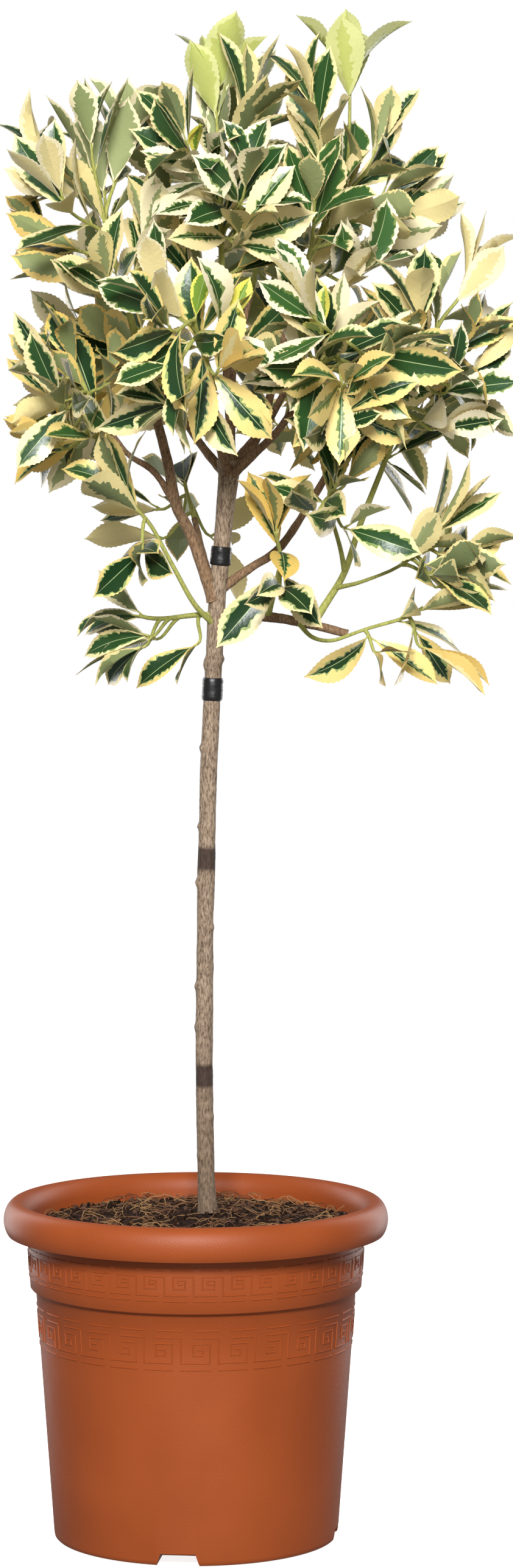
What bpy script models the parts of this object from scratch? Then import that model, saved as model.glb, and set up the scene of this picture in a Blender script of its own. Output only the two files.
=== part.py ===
"""A variegated spindle grown as a standard: a bare stem with a round leafy head, in a clay-coloured pot.

Units are metres and +Z is up. The origin is the middle of the pot's flat underside.
The front of the plant faces -Y, with +X on the right.
"""

import math
import random
from collections import namedtuple

import bmesh
import bpy
from mathutils import Matrix, Quaternion, Vector
from mathutils.bvhtree import BVHTree

# Everything that touches keeps this much air, and leaves and twigs keep more to the limbs.
GAP = 0.0003
CLEARANCE = 0.0006
UP = Vector((0, 0, 1))

# Pot: a tapering wall, a wider band on a step, and a rolled rim.
RIM_RADIUS = 0.140
RIM_HALF_WIDTH = 0.0095
RIM_HALF_HEIGHT = 0.0140
POT_HEIGHT = 0.247
FOOT_RADIUS = 0.1035
WALL_SLOPE = 0.0718
WALL = 0.0025
STEP_HEIGHT = 0.183
STEP_LEDGE = 0.0041
BAND_SLOPE = 0.052
FLOOR = 0.012
FOOT_CHAMFER = 0.0015
POT_SEGMENTS = 32
LIP_CURL = -60
DRAIN_COUNT = 8
DRAIN_TOP_WIDTH = 0.025
DRAIN_FOOT_WIDTH = 0.031
DRAIN_HEIGHT = 0.009
DRAIN_DEPTH = 0.034
DRAIN_TURN = 6.5
DRAIN_HOLE_RADIUS = 0.005
DRAIN_HOLE_PLACE = 0.66
DRAIN_PAST_WALL = 0.008
DRAIN_BELOW_FOOT = 0.002
DRAIN_WIDENING = 0.0013

# Soil, mounded a little, with a flat place under the stem.
SOIL_TOP = 0.2345
SOIL_EDGE = 0.2295
SOIL_FLAT_RADIUS = 0.045
SOIL_SHOULDER = (0.095, 0.2325)

# Stem, from its flat cut at the soil up to its swollen head.
STEM_RADIUS = 0.0062
FLARE_RADIUS = 0.0078
HEAD_RADIUS = 0.0092
SWELLING_LENGTH = 0.014
LIMB_BEVEL = 2
TWIG_LIMB_RADIUS = 0.0027
TIE_THICKNESS = 0.0009
TIE_HEIGHTS = {"tie_lower": (0.6100, 0.6270), "tie_upper": (0.7080, 0.7226)}

# Leaves and the three-sided twigs that carry them.
LEAF_LENGTH = 0.065
LEAF_WIDTH = 0.41
LEAF_WIDEST = 0.54
LEAF_FOLD = 0.010
KEEL_DEPTH = 0.020
KEEL_PLACE = 0.24
SINK = 0.0006
STAGGER = 0.0014
STEM_TWIG_RADII = (0.0021, 0.0017)
TWIG_RADII = (0.0017, 0.0012)
SHORTEST_SHOOT = 0.020
FORK_LENGTH = 0.004
STRAIGHT_START = 0.004
NODE_SPACING = (0.0, 0.003, 0.014, 0.018, 0.022)
DIVERGENCE = (8, 32, 48, 62, 74)
LEAF_SIZE = (0.82, 0.88, 1.0, 1.0, 0.90)
BARE_SHARE = 0.22
CELL_OVERLAP = 0.014
STEM_EXEMPTION = 0.009
CROWN_LOW = (-0.137, -0.172, 0.622)
CROWN_HIGH = (0.230, 0.198, 1.114)

Limb = namedtuple("Limb", "parent colour radii route")
LIMBS = {
    "trunk": Limb(None, "bark", (FLARE_RADIUS, HEAD_RADIUS), [
        (0.0084, 0.016, SOIL_TOP + GAP), (0.0074, 0.016, 0.258), (0.0062, 0.016, 0.330), (0.0066, 0.016, 0.430),
        (0.0085, 0.015, 0.530), (0.0118, 0.015, 0.610), (0.0158, 0.014, 0.685), (0.0208, 0.013, 0.742),
        (0.0240, 0.012, 0.772), (0.0245, 0.012, 0.784)]),
    "bough_left": Limb("trunk", "bark", (0.0046, 0.0030), [
        (0.0140, 0.014, 0.683), (-0.0025, 0.011, 0.728), (-0.0139, 0.006, 0.752), (-0.0205, 0.000, 0.785),
        (-0.0300, -0.004, 0.822), (-0.0400, -0.006, 0.862)]),
    "bough_left_side": Limb("bough_left", "bark", (0.0025, 0.0018), [
        (-0.0139, 0.006, 0.752), (-0.0300, -0.002, 0.776), (-0.0480, -0.004, 0.788), (-0.0620, -0.006, 0.806)]),
    "bough_lower_left": Limb("trunk", "green", (0.0020, 0.0015), [
        (0.0148, 0.014, 0.664), (-0.0005, -0.001, 0.680), (-0.0150, -0.010, 0.706), (-0.0260, -0.015, 0.727)]),
    "bough_lower_right": Limb("trunk", "bark", (0.0042, 0.0031), [
        (0.0150, 0.0140, 0.664), (0.0360, 0.006, 0.6715), (0.0580, 0.002, 0.6705), (0.0840, 0.000, 0.6655),
        (0.1100, -0.002, 0.6588)]),
    "bough_right": Limb("bough_lower_right", "green", (0.0026, 0.0019), [
        (0.0840, 0.000, 0.6655), (0.0945, 0.001, 0.681), (0.1080, 0.002, 0.704), (0.1190, 0.000, 0.738),
        (0.1330, -0.004, 0.774), (0.1430, -0.008, 0.800)]),
    "bough_outer_right": Limb("bough_right", "green", (0.0015, 0.0012), [
        (0.1010, 0.0015, 0.692), (0.1160, -0.012, 0.6955), (0.1300, -0.018, 0.7005)]),
    "bough_under_right": Limb("bough_lower_right", "green", (0.0016, 0.0012), [
        (0.0740, 0.001, 0.6675), (0.0840, -0.012, 0.657), (0.0980, -0.018, 0.6545), (0.1150, -0.021, 0.660)]),
    "bough_low_front": Limb("bough_lower_right", "green", (0.0020, 0.0016), [
        (0.0520, 0.003, 0.6710), (0.0560, -0.010, 0.686), (0.0600, -0.022, 0.704)]),
    "bough_mid_front": Limb("bough_right", "green", (0.0017, 0.0014), [
        (0.1080, 0.002, 0.704), (0.1040, -0.012, 0.722), (0.0980, -0.026, 0.742)]),
    "bough_mid_right": Limb("trunk", "bark", (0.0033, 0.0024), [
        (0.0165, 0.014, 0.690), (0.0395, 0.026, 0.706), (0.0620, 0.034, 0.722), (0.0860, 0.036, 0.758),
        (0.1080, 0.034, 0.796)]),
    "bough_low_back": Limb("trunk", "bark", (0.0030, 0.0020), [
        (0.0150, 0.014, 0.676), (0.0130, 0.036, 0.690), (0.0060, 0.064, 0.712), (-0.0020, 0.084, 0.742)]),
    "bough_top": Limb("trunk", "bark", (0.0040, 0.0026), [
        (0.0245, 0.012, 0.778), (0.0250, 0.014, 0.820), (0.0220, 0.012, 0.860), (0.0200, 0.006, 0.902)]),
    "bough_top_back": Limb("bough_top", "bark", (0.0026, 0.0020), [
        (0.0248, 0.0138, 0.835), (0.0310, 0.034, 0.868), (0.0400, 0.052, 0.906)]),
    "bough_front": Limb("trunk", "bark", (0.0036, 0.0024), [
        (0.0242, 0.012, 0.772), (0.0190, -0.010, 0.790), (0.0140, -0.032, 0.814), (0.0100, -0.050, 0.842)]),
    "bough_front_right": Limb("trunk", "bark", (0.0034, 0.0024), [
        (0.0242, 0.012, 0.772), (0.0420, -0.008, 0.788), (0.0620, -0.030, 0.808), (0.0780, -0.048, 0.834)]),
    "bough_upper_right": Limb("trunk", "bark", (0.0036, 0.0025), [
        (0.0242, 0.012, 0.774), (0.0440, 0.016, 0.800), (0.0590, 0.016, 0.850), (0.0700, 0.014, 0.896)]),
    "bough_back_right": Limb("trunk", "bark", (0.0034, 0.0024), [
        (0.0242, 0.012, 0.772), (0.0340, 0.036, 0.790), (0.0520, 0.060, 0.812), (0.0680, 0.078, 0.842)]),
    "bough_back_left": Limb("trunk", "bark", (0.0034, 0.0024), [
        (0.0242, 0.012, 0.772), (0.0080, 0.030, 0.790), (-0.0080, 0.052, 0.814), (-0.0200, 0.070, 0.846)]),
}

# Each mass grows on from one limb's tip. A limb named with a height is met on its side there.
Mass = namedtuple("Mass", "limb centre radii fill reach")
MASSES = {
    "foliage_top": Mass("bough_top", (0.018, -0.020, 1.000), (0.070, 0.080, 0.085), 7, [
        (0.0137, -0.010, 1.100), (0.0420, -0.030, 1.085), (-0.0150, -0.060, 1.060)]),
    "foliage_top_left": Mass("bough_left", (-0.070, -0.030, 0.980), (0.065, 0.085, 0.080), 6, [
        (-0.0756, -0.040, 1.060), (-0.1206, -0.010, 1.043), (-0.1290, 0.010, 1.000), (-0.0457, 0.000, 1.064),
        (-0.1340, -0.030, 0.944)]),
    "foliage_top_right": Mass("bough_upper_right", (0.112, 0.000, 0.990), (0.070, 0.085, 0.085), 7, [
        (0.1120, 0.000, 1.112), (0.1530, -0.020, 1.024), (0.1750, 0.020, 0.996), (0.0780, -0.050, 1.087)]),
    "foliage_top_back": Mass("bough_top_back", (0.040, 0.090, 0.985), (0.085, 0.075, 0.085), 5, [
        (0.0300, 0.080, 1.088), (0.0900, 0.110, 1.070), (-0.0300, 0.100, 1.065)]),
    "foliage_left": Mass("bough_left_side", (-0.088, -0.010, 0.858), (0.055, 0.090, 0.060), 7, [
        (-0.1180, -0.030, 0.895), (-0.1290, 0.010, 0.874), (-0.1350, -0.020, 0.832), (-0.1150, -0.040, 0.801),
        (-0.1100, 0.060, 0.850)]),
    "foliage_front": Mass("bough_front", (0.000, -0.105, 0.885), (0.070, 0.065, 0.075), 7, [
        (-0.0300, -0.155, 0.920), (0.0300, -0.160, 0.880), (-0.0450, -0.130, 0.850)]),
    "foliage_front_right": Mass("bough_front_right", (0.108, -0.095, 0.870), (0.070, 0.065, 0.080), 7, [
        (0.1100, -0.160, 0.870), (0.1500, -0.130, 0.900), (0.0700, -0.150, 0.940)]),
    "foliage_right": Mass("bough_right", (0.178, -0.015, 0.890), (0.055, 0.085, 0.075), 7, [
        (0.2040, -0.010, 0.965), (0.2270, -0.020, 0.891), (0.2170, 0.020, 0.919), (0.1995, -0.050, 0.850),
        (0.2040, -0.010, 0.810)]),
    "foliage_right_inner": Mass("bough_mid_right", (0.140, 0.070, 0.860), (0.065, 0.060, 0.065), 4, [
        (0.1860, 0.080, 0.850), (0.1750, 0.110, 0.890)]),
    "foliage_back_right": Mass("bough_back_right", (0.085, 0.140, 0.880), (0.075, 0.060, 0.075), 6, [
        (0.1000, 0.190, 0.900), (0.1400, 0.160, 0.930)]),
    "foliage_back_left": Mass("bough_back_left", (-0.045, 0.110, 0.885), (0.075, 0.070, 0.080), 5, [
        (-0.0500, 0.180, 0.890), (-0.1100, 0.120, 0.920), (-0.0900, 0.140, 0.970), (0.0100, 0.190, 0.900)]),
    "foliage_low_back": Mass("bough_low_back", (-0.010, 0.120, 0.770), (0.070, 0.055, 0.045), 5, [
        (-0.0700, 0.110, 0.760), (0.0400, 0.160, 0.755), (-0.0200, 0.175, 0.780)]),
    "foliage_lower_left": Mass("bough_lower_left", (-0.052, -0.030, 0.765), (0.050, 0.050, 0.030), 5, [
        (-0.0900, -0.020, 0.770), (-0.0710, -0.050, 0.728), (-0.0400, -0.090, 0.745)]),
    "foliage_low_left": Mass(("trunk", 0.6725), (-0.045, -0.006, 0.672), (0.050, 0.040, 0.022), 4, [
        (-0.0910, -0.006, 0.664), (-0.0700, -0.030, 0.690), (-0.0420, -0.010, 0.626), (-0.0760, 0.022, 0.682)]),
    "foliage_low_front": Mass("bough_low_front", (0.058, -0.050, 0.735), (0.045, 0.050, 0.032), 5, [
        (0.0250, -0.060, 0.730), (0.0900, -0.080, 0.740), (0.0600, -0.100, 0.720)]),
    "foliage_mid_front": Mass("bough_mid_front", (0.100, -0.050, 0.790), (0.045, 0.045, 0.040), 7, [
        (0.1300, -0.090, 0.770), (0.0700, -0.090, 0.790), (0.1450, -0.050, 0.745)]),
    "foliage_outer_right": Mass("bough_outer_right", (0.180, -0.026, 0.738), (0.045, 0.045, 0.032), 4, [
        (0.2216, -0.026, 0.755), (0.2250, -0.020, 0.714), (0.1950, -0.070, 0.730), (0.2000, 0.020, 0.745)]),
    "foliage_low_right": Mass("bough_under_right", (0.168, -0.028, 0.680), (0.045, 0.040, 0.022), 4, [
        (0.2175, -0.028, 0.654), (0.2100, -0.030, 0.692), (0.1600, -0.070, 0.672), (0.1600, 0.010, 0.665)]),
}

Twig = namedtuple("Twig", "route radii")
Leaf = namedtuple("Leaf", "root along normal length")


def hex_colour(code):
    """A base colour from sRGB hex, as linear values."""
    parts = [int(code[i:i + 2], 16) / 255 for i in (1, 3, 5)]
    return tuple(c / 12.92 if c <= 0.04045 else ((c + 0.055) / 1.055) ** 2.4 for c in parts) + (1.0,)


def material(name, code, roughness):
    made = bpy.data.materials.new(name)
    made.use_nodes = True
    shader = made.node_tree.nodes["Principled BSDF"]
    shader.inputs["Base Color"].default_value = hex_colour(code)
    shader.inputs["Roughness"].default_value = roughness
    shader.inputs["Metallic"].default_value = 0.0
    return made


def clear_scene():
    for thing in list(bpy.data.objects):
        bpy.data.objects.remove(thing, do_unlink=True)


def new_collection(name):
    made = bpy.data.collections.new(name)
    bpy.context.scene.collection.children.link(made)
    return made


def add_object(name, mesh, collection, finish=None):
    made = bpy.data.objects.new(name, mesh)
    collection.objects.link(made)
    if finish:
        mesh.materials.append(finish)
    return made


def add_cutter(name, mesh):
    made = add_object(name, mesh, cutters)
    made.hide_render = True
    made.display_type = "WIRE"
    return made


def smooth_route(points, steps=3):
    """A Catmull-Rom curve through hand-chosen points."""
    points = [Vector(p) for p in points]
    ends = [2 * points[0] - points[1]] + points + [2 * points[-1] - points[-2]]
    route = []
    for i in range(1, len(ends) - 2):
        a, b, c, d = ends[i - 1:i + 3]
        for step in range(steps):
            t = step / steps
            route.append(0.5 * (2 * b + (c - a) * t + (2 * a - 5 * b + 4 * c - d) * t ** 2
                                + (3 * b - a - 3 * c + d) * t ** 3))
    return route + [points[-1]]


def bend(start, start_direction, end, end_direction, pull=0.38, steps=3):
    """A cubic curve that leaves and arrives in the given directions."""
    reach = (end - start).length * pull
    a, b, c, d = start, start + start_direction * reach, end - end_direction * reach, end
    ts = [i / steps for i in range(steps + 1)]
    return [a * (1 - t) ** 3 + b * 3 * t * (1 - t) ** 2 + c * 3 * t * t * (1 - t) + d * t ** 3 for t in ts]


def lengths(route):
    """The distance along a route at each of its points."""
    total = [0.0]
    for a, b in zip(route, route[1:]):
        total.append(total[-1] + (b - a).length)
    return total


def along(route, distance):
    """The point and direction at a distance along a route."""
    marks = lengths(route)
    distance = min(max(distance, 0.0), marks[-1])
    for i in range(len(route) - 1):
        if distance <= marks[i + 1] or i == len(route) - 2:
            share = (distance - marks[i]) / (marks[i + 1] - marks[i])
            return route[i].lerp(route[i + 1], share), (route[i + 1] - route[i]).normalized()


def taper(route, radii):
    marks = lengths(route)
    return [radii[0] + (radii[1] - radii[0]) * mark / marks[-1] for mark in marks]


def stem_radii(route):
    """The stem's radius: flared at the soil, even above it, and swollen at the head."""
    low, high = route[0].z, route[-1].z
    radii = []
    for point in route:
        flare = (FLARE_RADIUS - STEM_RADIUS) * math.exp(-(point.z - low) / SWELLING_LENGTH)
        head = (HEAD_RADIUS - STEM_RADIUS) * math.exp(-(high - point.z) / SWELLING_LENGTH)
        radii.append(STEM_RADIUS + flare + head)
    return radii


def tube_mesh(route, radii, section=None):
    """A capped tube as one welded mesh, from a curve with a bevel: fewer sides where it is thin."""
    curve = bpy.data.curves.new("tube", "CURVE")
    curve.dimensions = "3D"
    curve.use_fill_caps = True
    if section:
        curve.bevel_mode = "OBJECT"
        curve.bevel_object = section
    else:
        curve.bevel_depth = 1.0
        curve.bevel_resolution = LIMB_BEVEL if max(radii) > TWIG_LIMB_RADIUS else LIMB_BEVEL - 1
    spline = curve.splines.new("POLY")
    spline.points.add(len(route) - 1)
    for spot, place, radius in zip(spline.points, route, radii):
        spot.co = (*place, 1.0)
        spot.radius = radius
    holder = bpy.data.objects.new("tube", curve)
    cutters.objects.link(holder)
    graph = bpy.context.evaluated_depsgraph_get()
    mesh = bpy.data.meshes.new_from_object(holder.evaluated_get(graph))
    bpy.data.objects.remove(holder, do_unlink=True)
    bpy.data.curves.remove(curve)
    mesh.materials.clear()
    bm = bmesh.new()
    bm.from_mesh(mesh)
    bmesh.ops.remove_doubles(bm, verts=bm.verts, dist=0.00002)
    bmesh.ops.recalc_face_normals(bm, faces=bm.faces)
    bm.to_mesh(mesh)
    bm.free()
    return mesh


def triangle_section():
    """The cross-section of a twig: a triangle of unit radius."""
    curve = bpy.data.curves.new("twig_section", "CURVE")
    curve.dimensions = "2D"
    spline = curve.splines.new("POLY")
    spline.points.add(2)
    for i, spot in enumerate(spline.points):
        angle = math.tau * i / 3
        spot.co = (math.cos(angle), math.sin(angle), 0, 1)
    spline.use_cyclic_u = True
    section = bpy.data.objects.new("twig_section", curve)
    cutters.objects.link(section)
    section.hide_render = True
    return section


def grown(route, radii, extra):
    """The same route made thicker and longer by extra, for cutting and for clearance."""
    first = route[0] + (route[0] - route[1]).normalized() * extra
    last = route[-1] + (route[-1] - route[-2]).normalized() * extra
    return [first] + route[1:-1] + [last], [r + extra for r in radii]


def smooth(mesh, angle=35):
    mesh.shade_smooth()
    mesh.set_sharp_from_angle(angle=math.radians(angle))


def turned(name, profile, finish):
    """A solid of revolution from a profile that starts and ends on the axis."""
    mesh = bpy.data.meshes.new(name)
    bm = bmesh.new()
    verts = [bm.verts.new((radius, 0, height)) for radius, height in profile]
    for a, b in zip(verts, verts[1:]):
        bm.edges.new((a, b))
    bm.to_mesh(mesh)
    bm.free()
    made = add_object(name, mesh, plant, finish)
    screw = made.modifiers.new("Turn", "SCREW")
    screw.steps = POT_SEGMENTS
    screw.render_steps = POT_SEGMENTS
    screw.use_merge_vertices = True
    screw.merge_threshold = 0.00001
    return made


def cut(thing, cutter):
    boolean = thing.modifiers.new("Cut", "BOOLEAN")
    boolean.operation = "DIFFERENCE"
    boolean.solver = "EXACT"
    boolean.object = cutter


def wall_radius(height):
    """The outer face of the pot's wall, with the wider band above the step."""
    ledge = STEP_LEDGE if height > STEP_HEIGHT else 0.0
    return FOOT_RADIUS + WALL_SLOPE * min(height, STEP_HEIGHT) + ledge + BAND_SLOPE * max(height - STEP_HEIGHT, 0)


def rim_arc(inset, start, end, steps):
    """Points round the rolled rim's oval section, from one angle to the other."""
    centre = RIM_RADIUS - RIM_HALF_WIDTH
    middle = POT_HEIGHT - RIM_HALF_HEIGHT
    points = []
    for i in range(steps + 1):
        angle = math.radians(start + (end - start) * i / steps)
        points.append((centre + (RIM_HALF_WIDTH - inset) * math.cos(angle),
                       middle + (RIM_HALF_HEIGHT - inset) * math.sin(angle)))
    return points


def drain_cutter():
    """Channels under the foot, wider at the bottom, each with a round hole through the floor."""
    bm = bmesh.new()
    for i in range(DRAIN_COUNT):
        turn = math.radians(-90 - DRAIN_TURN) + math.tau * i / DRAIN_COUNT
        middle = FOOT_RADIUS - DRAIN_DEPTH / 2 + DRAIN_PAST_WALL / 2
        made = bmesh.ops.create_cube(bm, size=1.0)["verts"]
        for vert in made:
            width = DRAIN_TOP_WIDTH if vert.co.z > 0 else DRAIN_FOOT_WIDTH + DRAIN_WIDENING
            height = DRAIN_HEIGHT if vert.co.z > 0 else -DRAIN_BELOW_FOOT
            vert.co = Vector((middle + vert.co.x * (DRAIN_DEPTH + DRAIN_PAST_WALL), vert.co.y * width, height))
        place = Matrix.Translation((FOOT_RADIUS - DRAIN_DEPTH * DRAIN_HOLE_PLACE, 0, FLOOR))
        hole = bmesh.ops.create_cone(bm, cap_ends=True, segments=10, radius1=DRAIN_HOLE_RADIUS,
                                     radius2=DRAIN_HOLE_RADIUS, depth=FLOOR, matrix=place)["verts"]
        bmesh.ops.rotate(bm, verts=made + hole, cent=(0, 0, 0), matrix=Matrix.Rotation(turn, 3, "Z"))
    mesh = bpy.data.meshes.new("drain_cutter")
    bm.to_mesh(mesh)
    bm.free()
    return add_cutter("drain_cutter", mesh)


def make_pot():
    inner_foot = wall_radius(FLOOR) - WALL
    profile = [(0, FLOOR), (inner_foot, FLOOR)]
    profile += [(wall_radius(STEP_HEIGHT) - WALL, STEP_HEIGHT - WALL)]
    profile += [(wall_radius(STEP_HEIGHT + 0.001) - WALL, STEP_HEIGHT + 0.002)]
    profile += rim_arc(0, 180, LIP_CURL, 7)
    profile += rim_arc(WALL, LIP_CURL, 180, 4)
    profile += [(wall_radius(STEP_HEIGHT + 0.001), STEP_HEIGHT + 0.001), (wall_radius(STEP_HEIGHT), STEP_HEIGHT)]
    profile += [(wall_radius(FOOT_CHAMFER), FOOT_CHAMFER), (FOOT_RADIUS - FOOT_CHAMFER, 0), (0, 0)]
    pot = turned("pot", profile, materials["pot"])
    cut(pot, drain_cutter())


def make_soil():
    edge = wall_radius(SOIL_EDGE) - WALL - GAP - 0.0006
    profile = [(0, SOIL_TOP), (SOIL_FLAT_RADIUS, SOIL_TOP), SOIL_SHOULDER, (edge, SOIL_EDGE)]
    profile += [(wall_radius(STEP_HEIGHT + 0.001) - WALL - GAP - 0.0002, STEP_HEIGHT + 0.0025)]
    profile += [(wall_radius(STEP_HEIGHT) - WALL - GAP - 0.0002, STEP_HEIGHT - WALL - 0.0005)]
    profile += [(wall_radius(FLOOR) - WALL - GAP - 0.0004, FLOOR + GAP), (0, FLOOR + GAP)]
    turned("soil", profile, materials["soil"])


def limb_route(name):
    return smooth_route(LIMBS[name].route, 2)


def limb_radii(name, route):
    return stem_radii(route) if name == "trunk" else taper(route, LIMBS[name].radii)


def cut_flat(mesh, height):
    """Levels the foot of the leaning stem, as cut at the soil."""
    for vert in mesh.vertices:
        if vert.co.z < height + 0.001:
            vert.co.z = height


def make_limbs():
    """Every limb starts on its parent's middle line, and is cut to seat on the parent's side."""
    for name, limb in LIMBS.items():
        route = limb_route(name)
        radii = limb_radii(name, route)
        mesh = tube_mesh(route, radii)
        if not limb.parent:
            cut_flat(mesh, route[0].z)
        smooth(mesh)
        made = add_object(name, mesh, plant, materials[limb.colour])
        if any(other.parent == name for other in LIMBS.values()):
            seats[name] = add_cutter(name + "_seat", tube_mesh(*grown(route, radii, GAP)))
        if limb.parent:
            cut(made, seats[limb.parent])


def tie_route(low, high):
    """The stem's middle line between two heights."""
    route = limb_route("trunk")
    band = []
    for share in (0, 0.5, 1):
        height = low + (high - low) * share
        below = max(p for p in range(len(route)) if route[p].z <= height)
        step = (height - route[below].z) / (route[below + 1].z - route[below].z)
        band.append(route[below].lerp(route[below + 1], step))
    return band


def make_ties():
    """Bands of tape round the stem: a short thicker tube with the stem's space cut out."""
    for name, (low, high) in TIE_HEIGHTS.items():
        band = tie_route(low, high)
        mesh = tube_mesh(band, [STEM_RADIUS + GAP + TIE_THICKNESS] * len(band))
        smooth(mesh)
        made = add_object(name, mesh, plant, materials["tape"])
        cut(made, seats["trunk"])


def leaf_template():
    """A leaf blade of six faces: a three-sided double cone with the stalk and the tip at its poles."""
    bm = bmesh.new()
    bmesh.ops.create_cone(bm, cap_ends=True, segments=3, radius1=1, radius2=0, depth=1)
    foot = min(bm.faces, key=lambda face: face.calc_center_median().z)
    root = bmesh.ops.poke(bm, faces=[foot])["verts"][0]
    root.co = Vector((0, 0, -1))
    mesh = bpy.data.meshes.new("leaf_template")
    bm.to_mesh(mesh)
    bm.free()
    return mesh


def leaf_points(leaf, extra=0.0):
    """Where the template's corners go for one leaf: its stalk, tip, two edges and the keel below."""
    side = leaf.along.cross(leaf.normal).normalized()
    points = []
    for vert in template.vertices:
        x, y, z = vert.co
        if z < -0.9:
            points.append(leaf.root.copy())
        elif z > 0.4:
            points.append(leaf.root + leaf.along * (leaf.length + extra))
        elif y > 0.9:
            keel = leaf.length * KEEL_DEPTH + extra
            points.append(leaf.root + leaf.along * leaf.length * KEEL_PLACE - leaf.normal * keel)
        else:
            width = math.copysign(leaf.length * LEAF_WIDTH / 2 + extra, x)
            fold = leaf.normal * (leaf.length * LEAF_FOLD + extra)
            points.append(leaf.root + leaf.along * leaf.length * LEAF_WIDEST - side * width + fold)
    return points


class Space:
    """What has been placed so far, for testing that a new leaf or twig is clear of it."""

    def __init__(self):
        self.placed = []

    def add(self, points, faces, kind):
        low = [min(p[i] for p in points) for i in range(3)]
        high = [max(p[i] for p in points) for i in range(3)]
        tree = BVHTree.FromPolygons(points, faces)
        self.placed.append((low, high, tree, kind))
        return len(self.placed) - 1

    def hit(self, points, faces, spared=(), kinds=("limb", "stem", "twig", "leaf")):
        low = [min(p[i] for p in points) for i in range(3)]
        high = [max(p[i] for p in points) for i in range(3)]
        tree = None
        for number, (other_low, other_high, other, kind) in enumerate(self.placed):
            if number in spared or kind not in kinds:
                continue
            if any(low[i] > other_high[i] or high[i] < other_low[i] for i in range(3)):
                continue
            tree = tree or BVHTree.FromPolygons(points, faces)
            if tree.overlap(other):
                return True
        return False


def mesh_shape(mesh):
    return [v.co.copy() for v in mesh.vertices], [tuple(p.vertices) for p in mesh.polygons]


def in_space(point, name, overlap=CELL_OVERLAP):
    """True if the point is in the crown, and nearer to this mass's middle than to any other's, give or take."""
    if any(not CROWN_LOW[i] < point[i] < CROWN_HIGH[i] for i in range(3)):
        return False
    own = Vector(MASSES[name].centre)
    for other, mass in MASSES.items():
        if other == name:
            continue
        away = Vector(mass.centre) - own
        reach = away.length
        if (point - own).dot(away / reach) > reach / 2 + overlap:
            return False
    return True


def stem_start(mass):
    """Where a mass's stem starts, just clear of its limb's tip or of the stem's side."""
    if isinstance(mass.limb, tuple):
        name, height = mass.limb
        route = limb_route(name)
        middle = min(route, key=lambda p: abs(p.z - height)).copy()
        middle.z = height
        direction = Vector((mass.centre[0] - middle.x, mass.centre[1] - middle.y, 0)).normalized()
        return middle + direction * (STEM_RADIUS + GAP + 0.0002), direction
    route = limb_route(mass.limb)
    direction = (route[-1] - route[-2]).normalized()
    return route[-1] + direction * GAP, direction


def mass_stem(name):
    """The one stem of a mass, from its limb's tip to near the middle of its space."""
    mass = MASSES[name]
    start, direction = stem_start(mass)
    centre = Vector(mass.centre)
    end = start.lerp(centre, 0.92)
    end_direction = ((centre - start).normalized() + UP * 0.3).normalized()
    straight = start + direction * STRAIGHT_START
    return Twig([start] + bend(straight, direction, end, end_direction), STEM_TWIG_RADII)


def fill_targets(name):
    """Points spread evenly round a mass's space, away from where its stem comes in."""
    mass = MASSES[name]
    centre = Vector(mass.centre)
    inward = (stem_start(mass)[0] - centre).normalized()
    turn = random.Random(name).uniform(0, math.tau)
    targets = []
    for i in range(mass.fill):
        height = 1 - 1.8 * (i + 0.5) / mass.fill
        angle = turn + i * math.pi * (3 - math.sqrt(5))
        ring = math.sqrt(1 - height * height)
        direction = Vector((ring * math.cos(angle), ring * math.sin(angle), height))
        if direction.dot(inward) > 0.55:
            continue
        point = centre + Vector(direction[k] * mass.radii[k] for k in range(3))
        for _ in range(8):
            if in_space(point, name, 0.0):
                break
            point = centre.lerp(point, 0.9)
        targets.append(point)
    return targets


def shoot_to(target, stem, share):
    """A shoot that leaves the stem near a share of its length, and ends a leaf short of its target."""
    total = lengths(stem.route)[-1]
    size = LEAF_LENGTH * LEAF_SIZE[0]
    for change in (0, -0.14, -0.28, 0.12, -0.42, -0.56):
        start, direction = along(stem.route, total * min(max(share + change, 0.08), 0.97))
        outward = (target - start).normalized()
        heading = (outward + UP * 0.55).normalized()
        end = target - heading * size
        step = end - start
        if step.length > SHORTEST_SHOOT and step.normalized().dot(heading) > 0.25:
            leave = (step.normalized() + direction * 0.4).normalized()
            return Twig(bend(start, leave, end, heading), TWIG_RADII)
    return None


def shoots(name, stem):
    """The shoots of a mass, to its furthest leaf tips first and then to fill its space."""
    targets = [Vector(p) for p in MASSES[name].reach] + fill_targets(name)
    start = stem.route[0]
    axis = (stem.route[-1] - start).normalized()
    order = sorted(range(len(targets)), key=lambda i: (targets[i] - start).dot(axis))
    made = []
    for i, target in enumerate(targets):
        rank = order.index(i) / max(len(targets) - 1, 1)
        shoot = shoot_to(target, stem, 0.15 + 0.82 * rank)
        if shoot:
            made.append(shoot)
    return made


# Turns, openings and scales tried in order until a leaf finds room.
CHANGES = [(turn, open_by, scale) for scale in (1.0, 0.9, 0.8, 0.7) for open_by in (0, -12, 12, -22)
           for turn in (0, 24, -24, 48, -48)]


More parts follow.
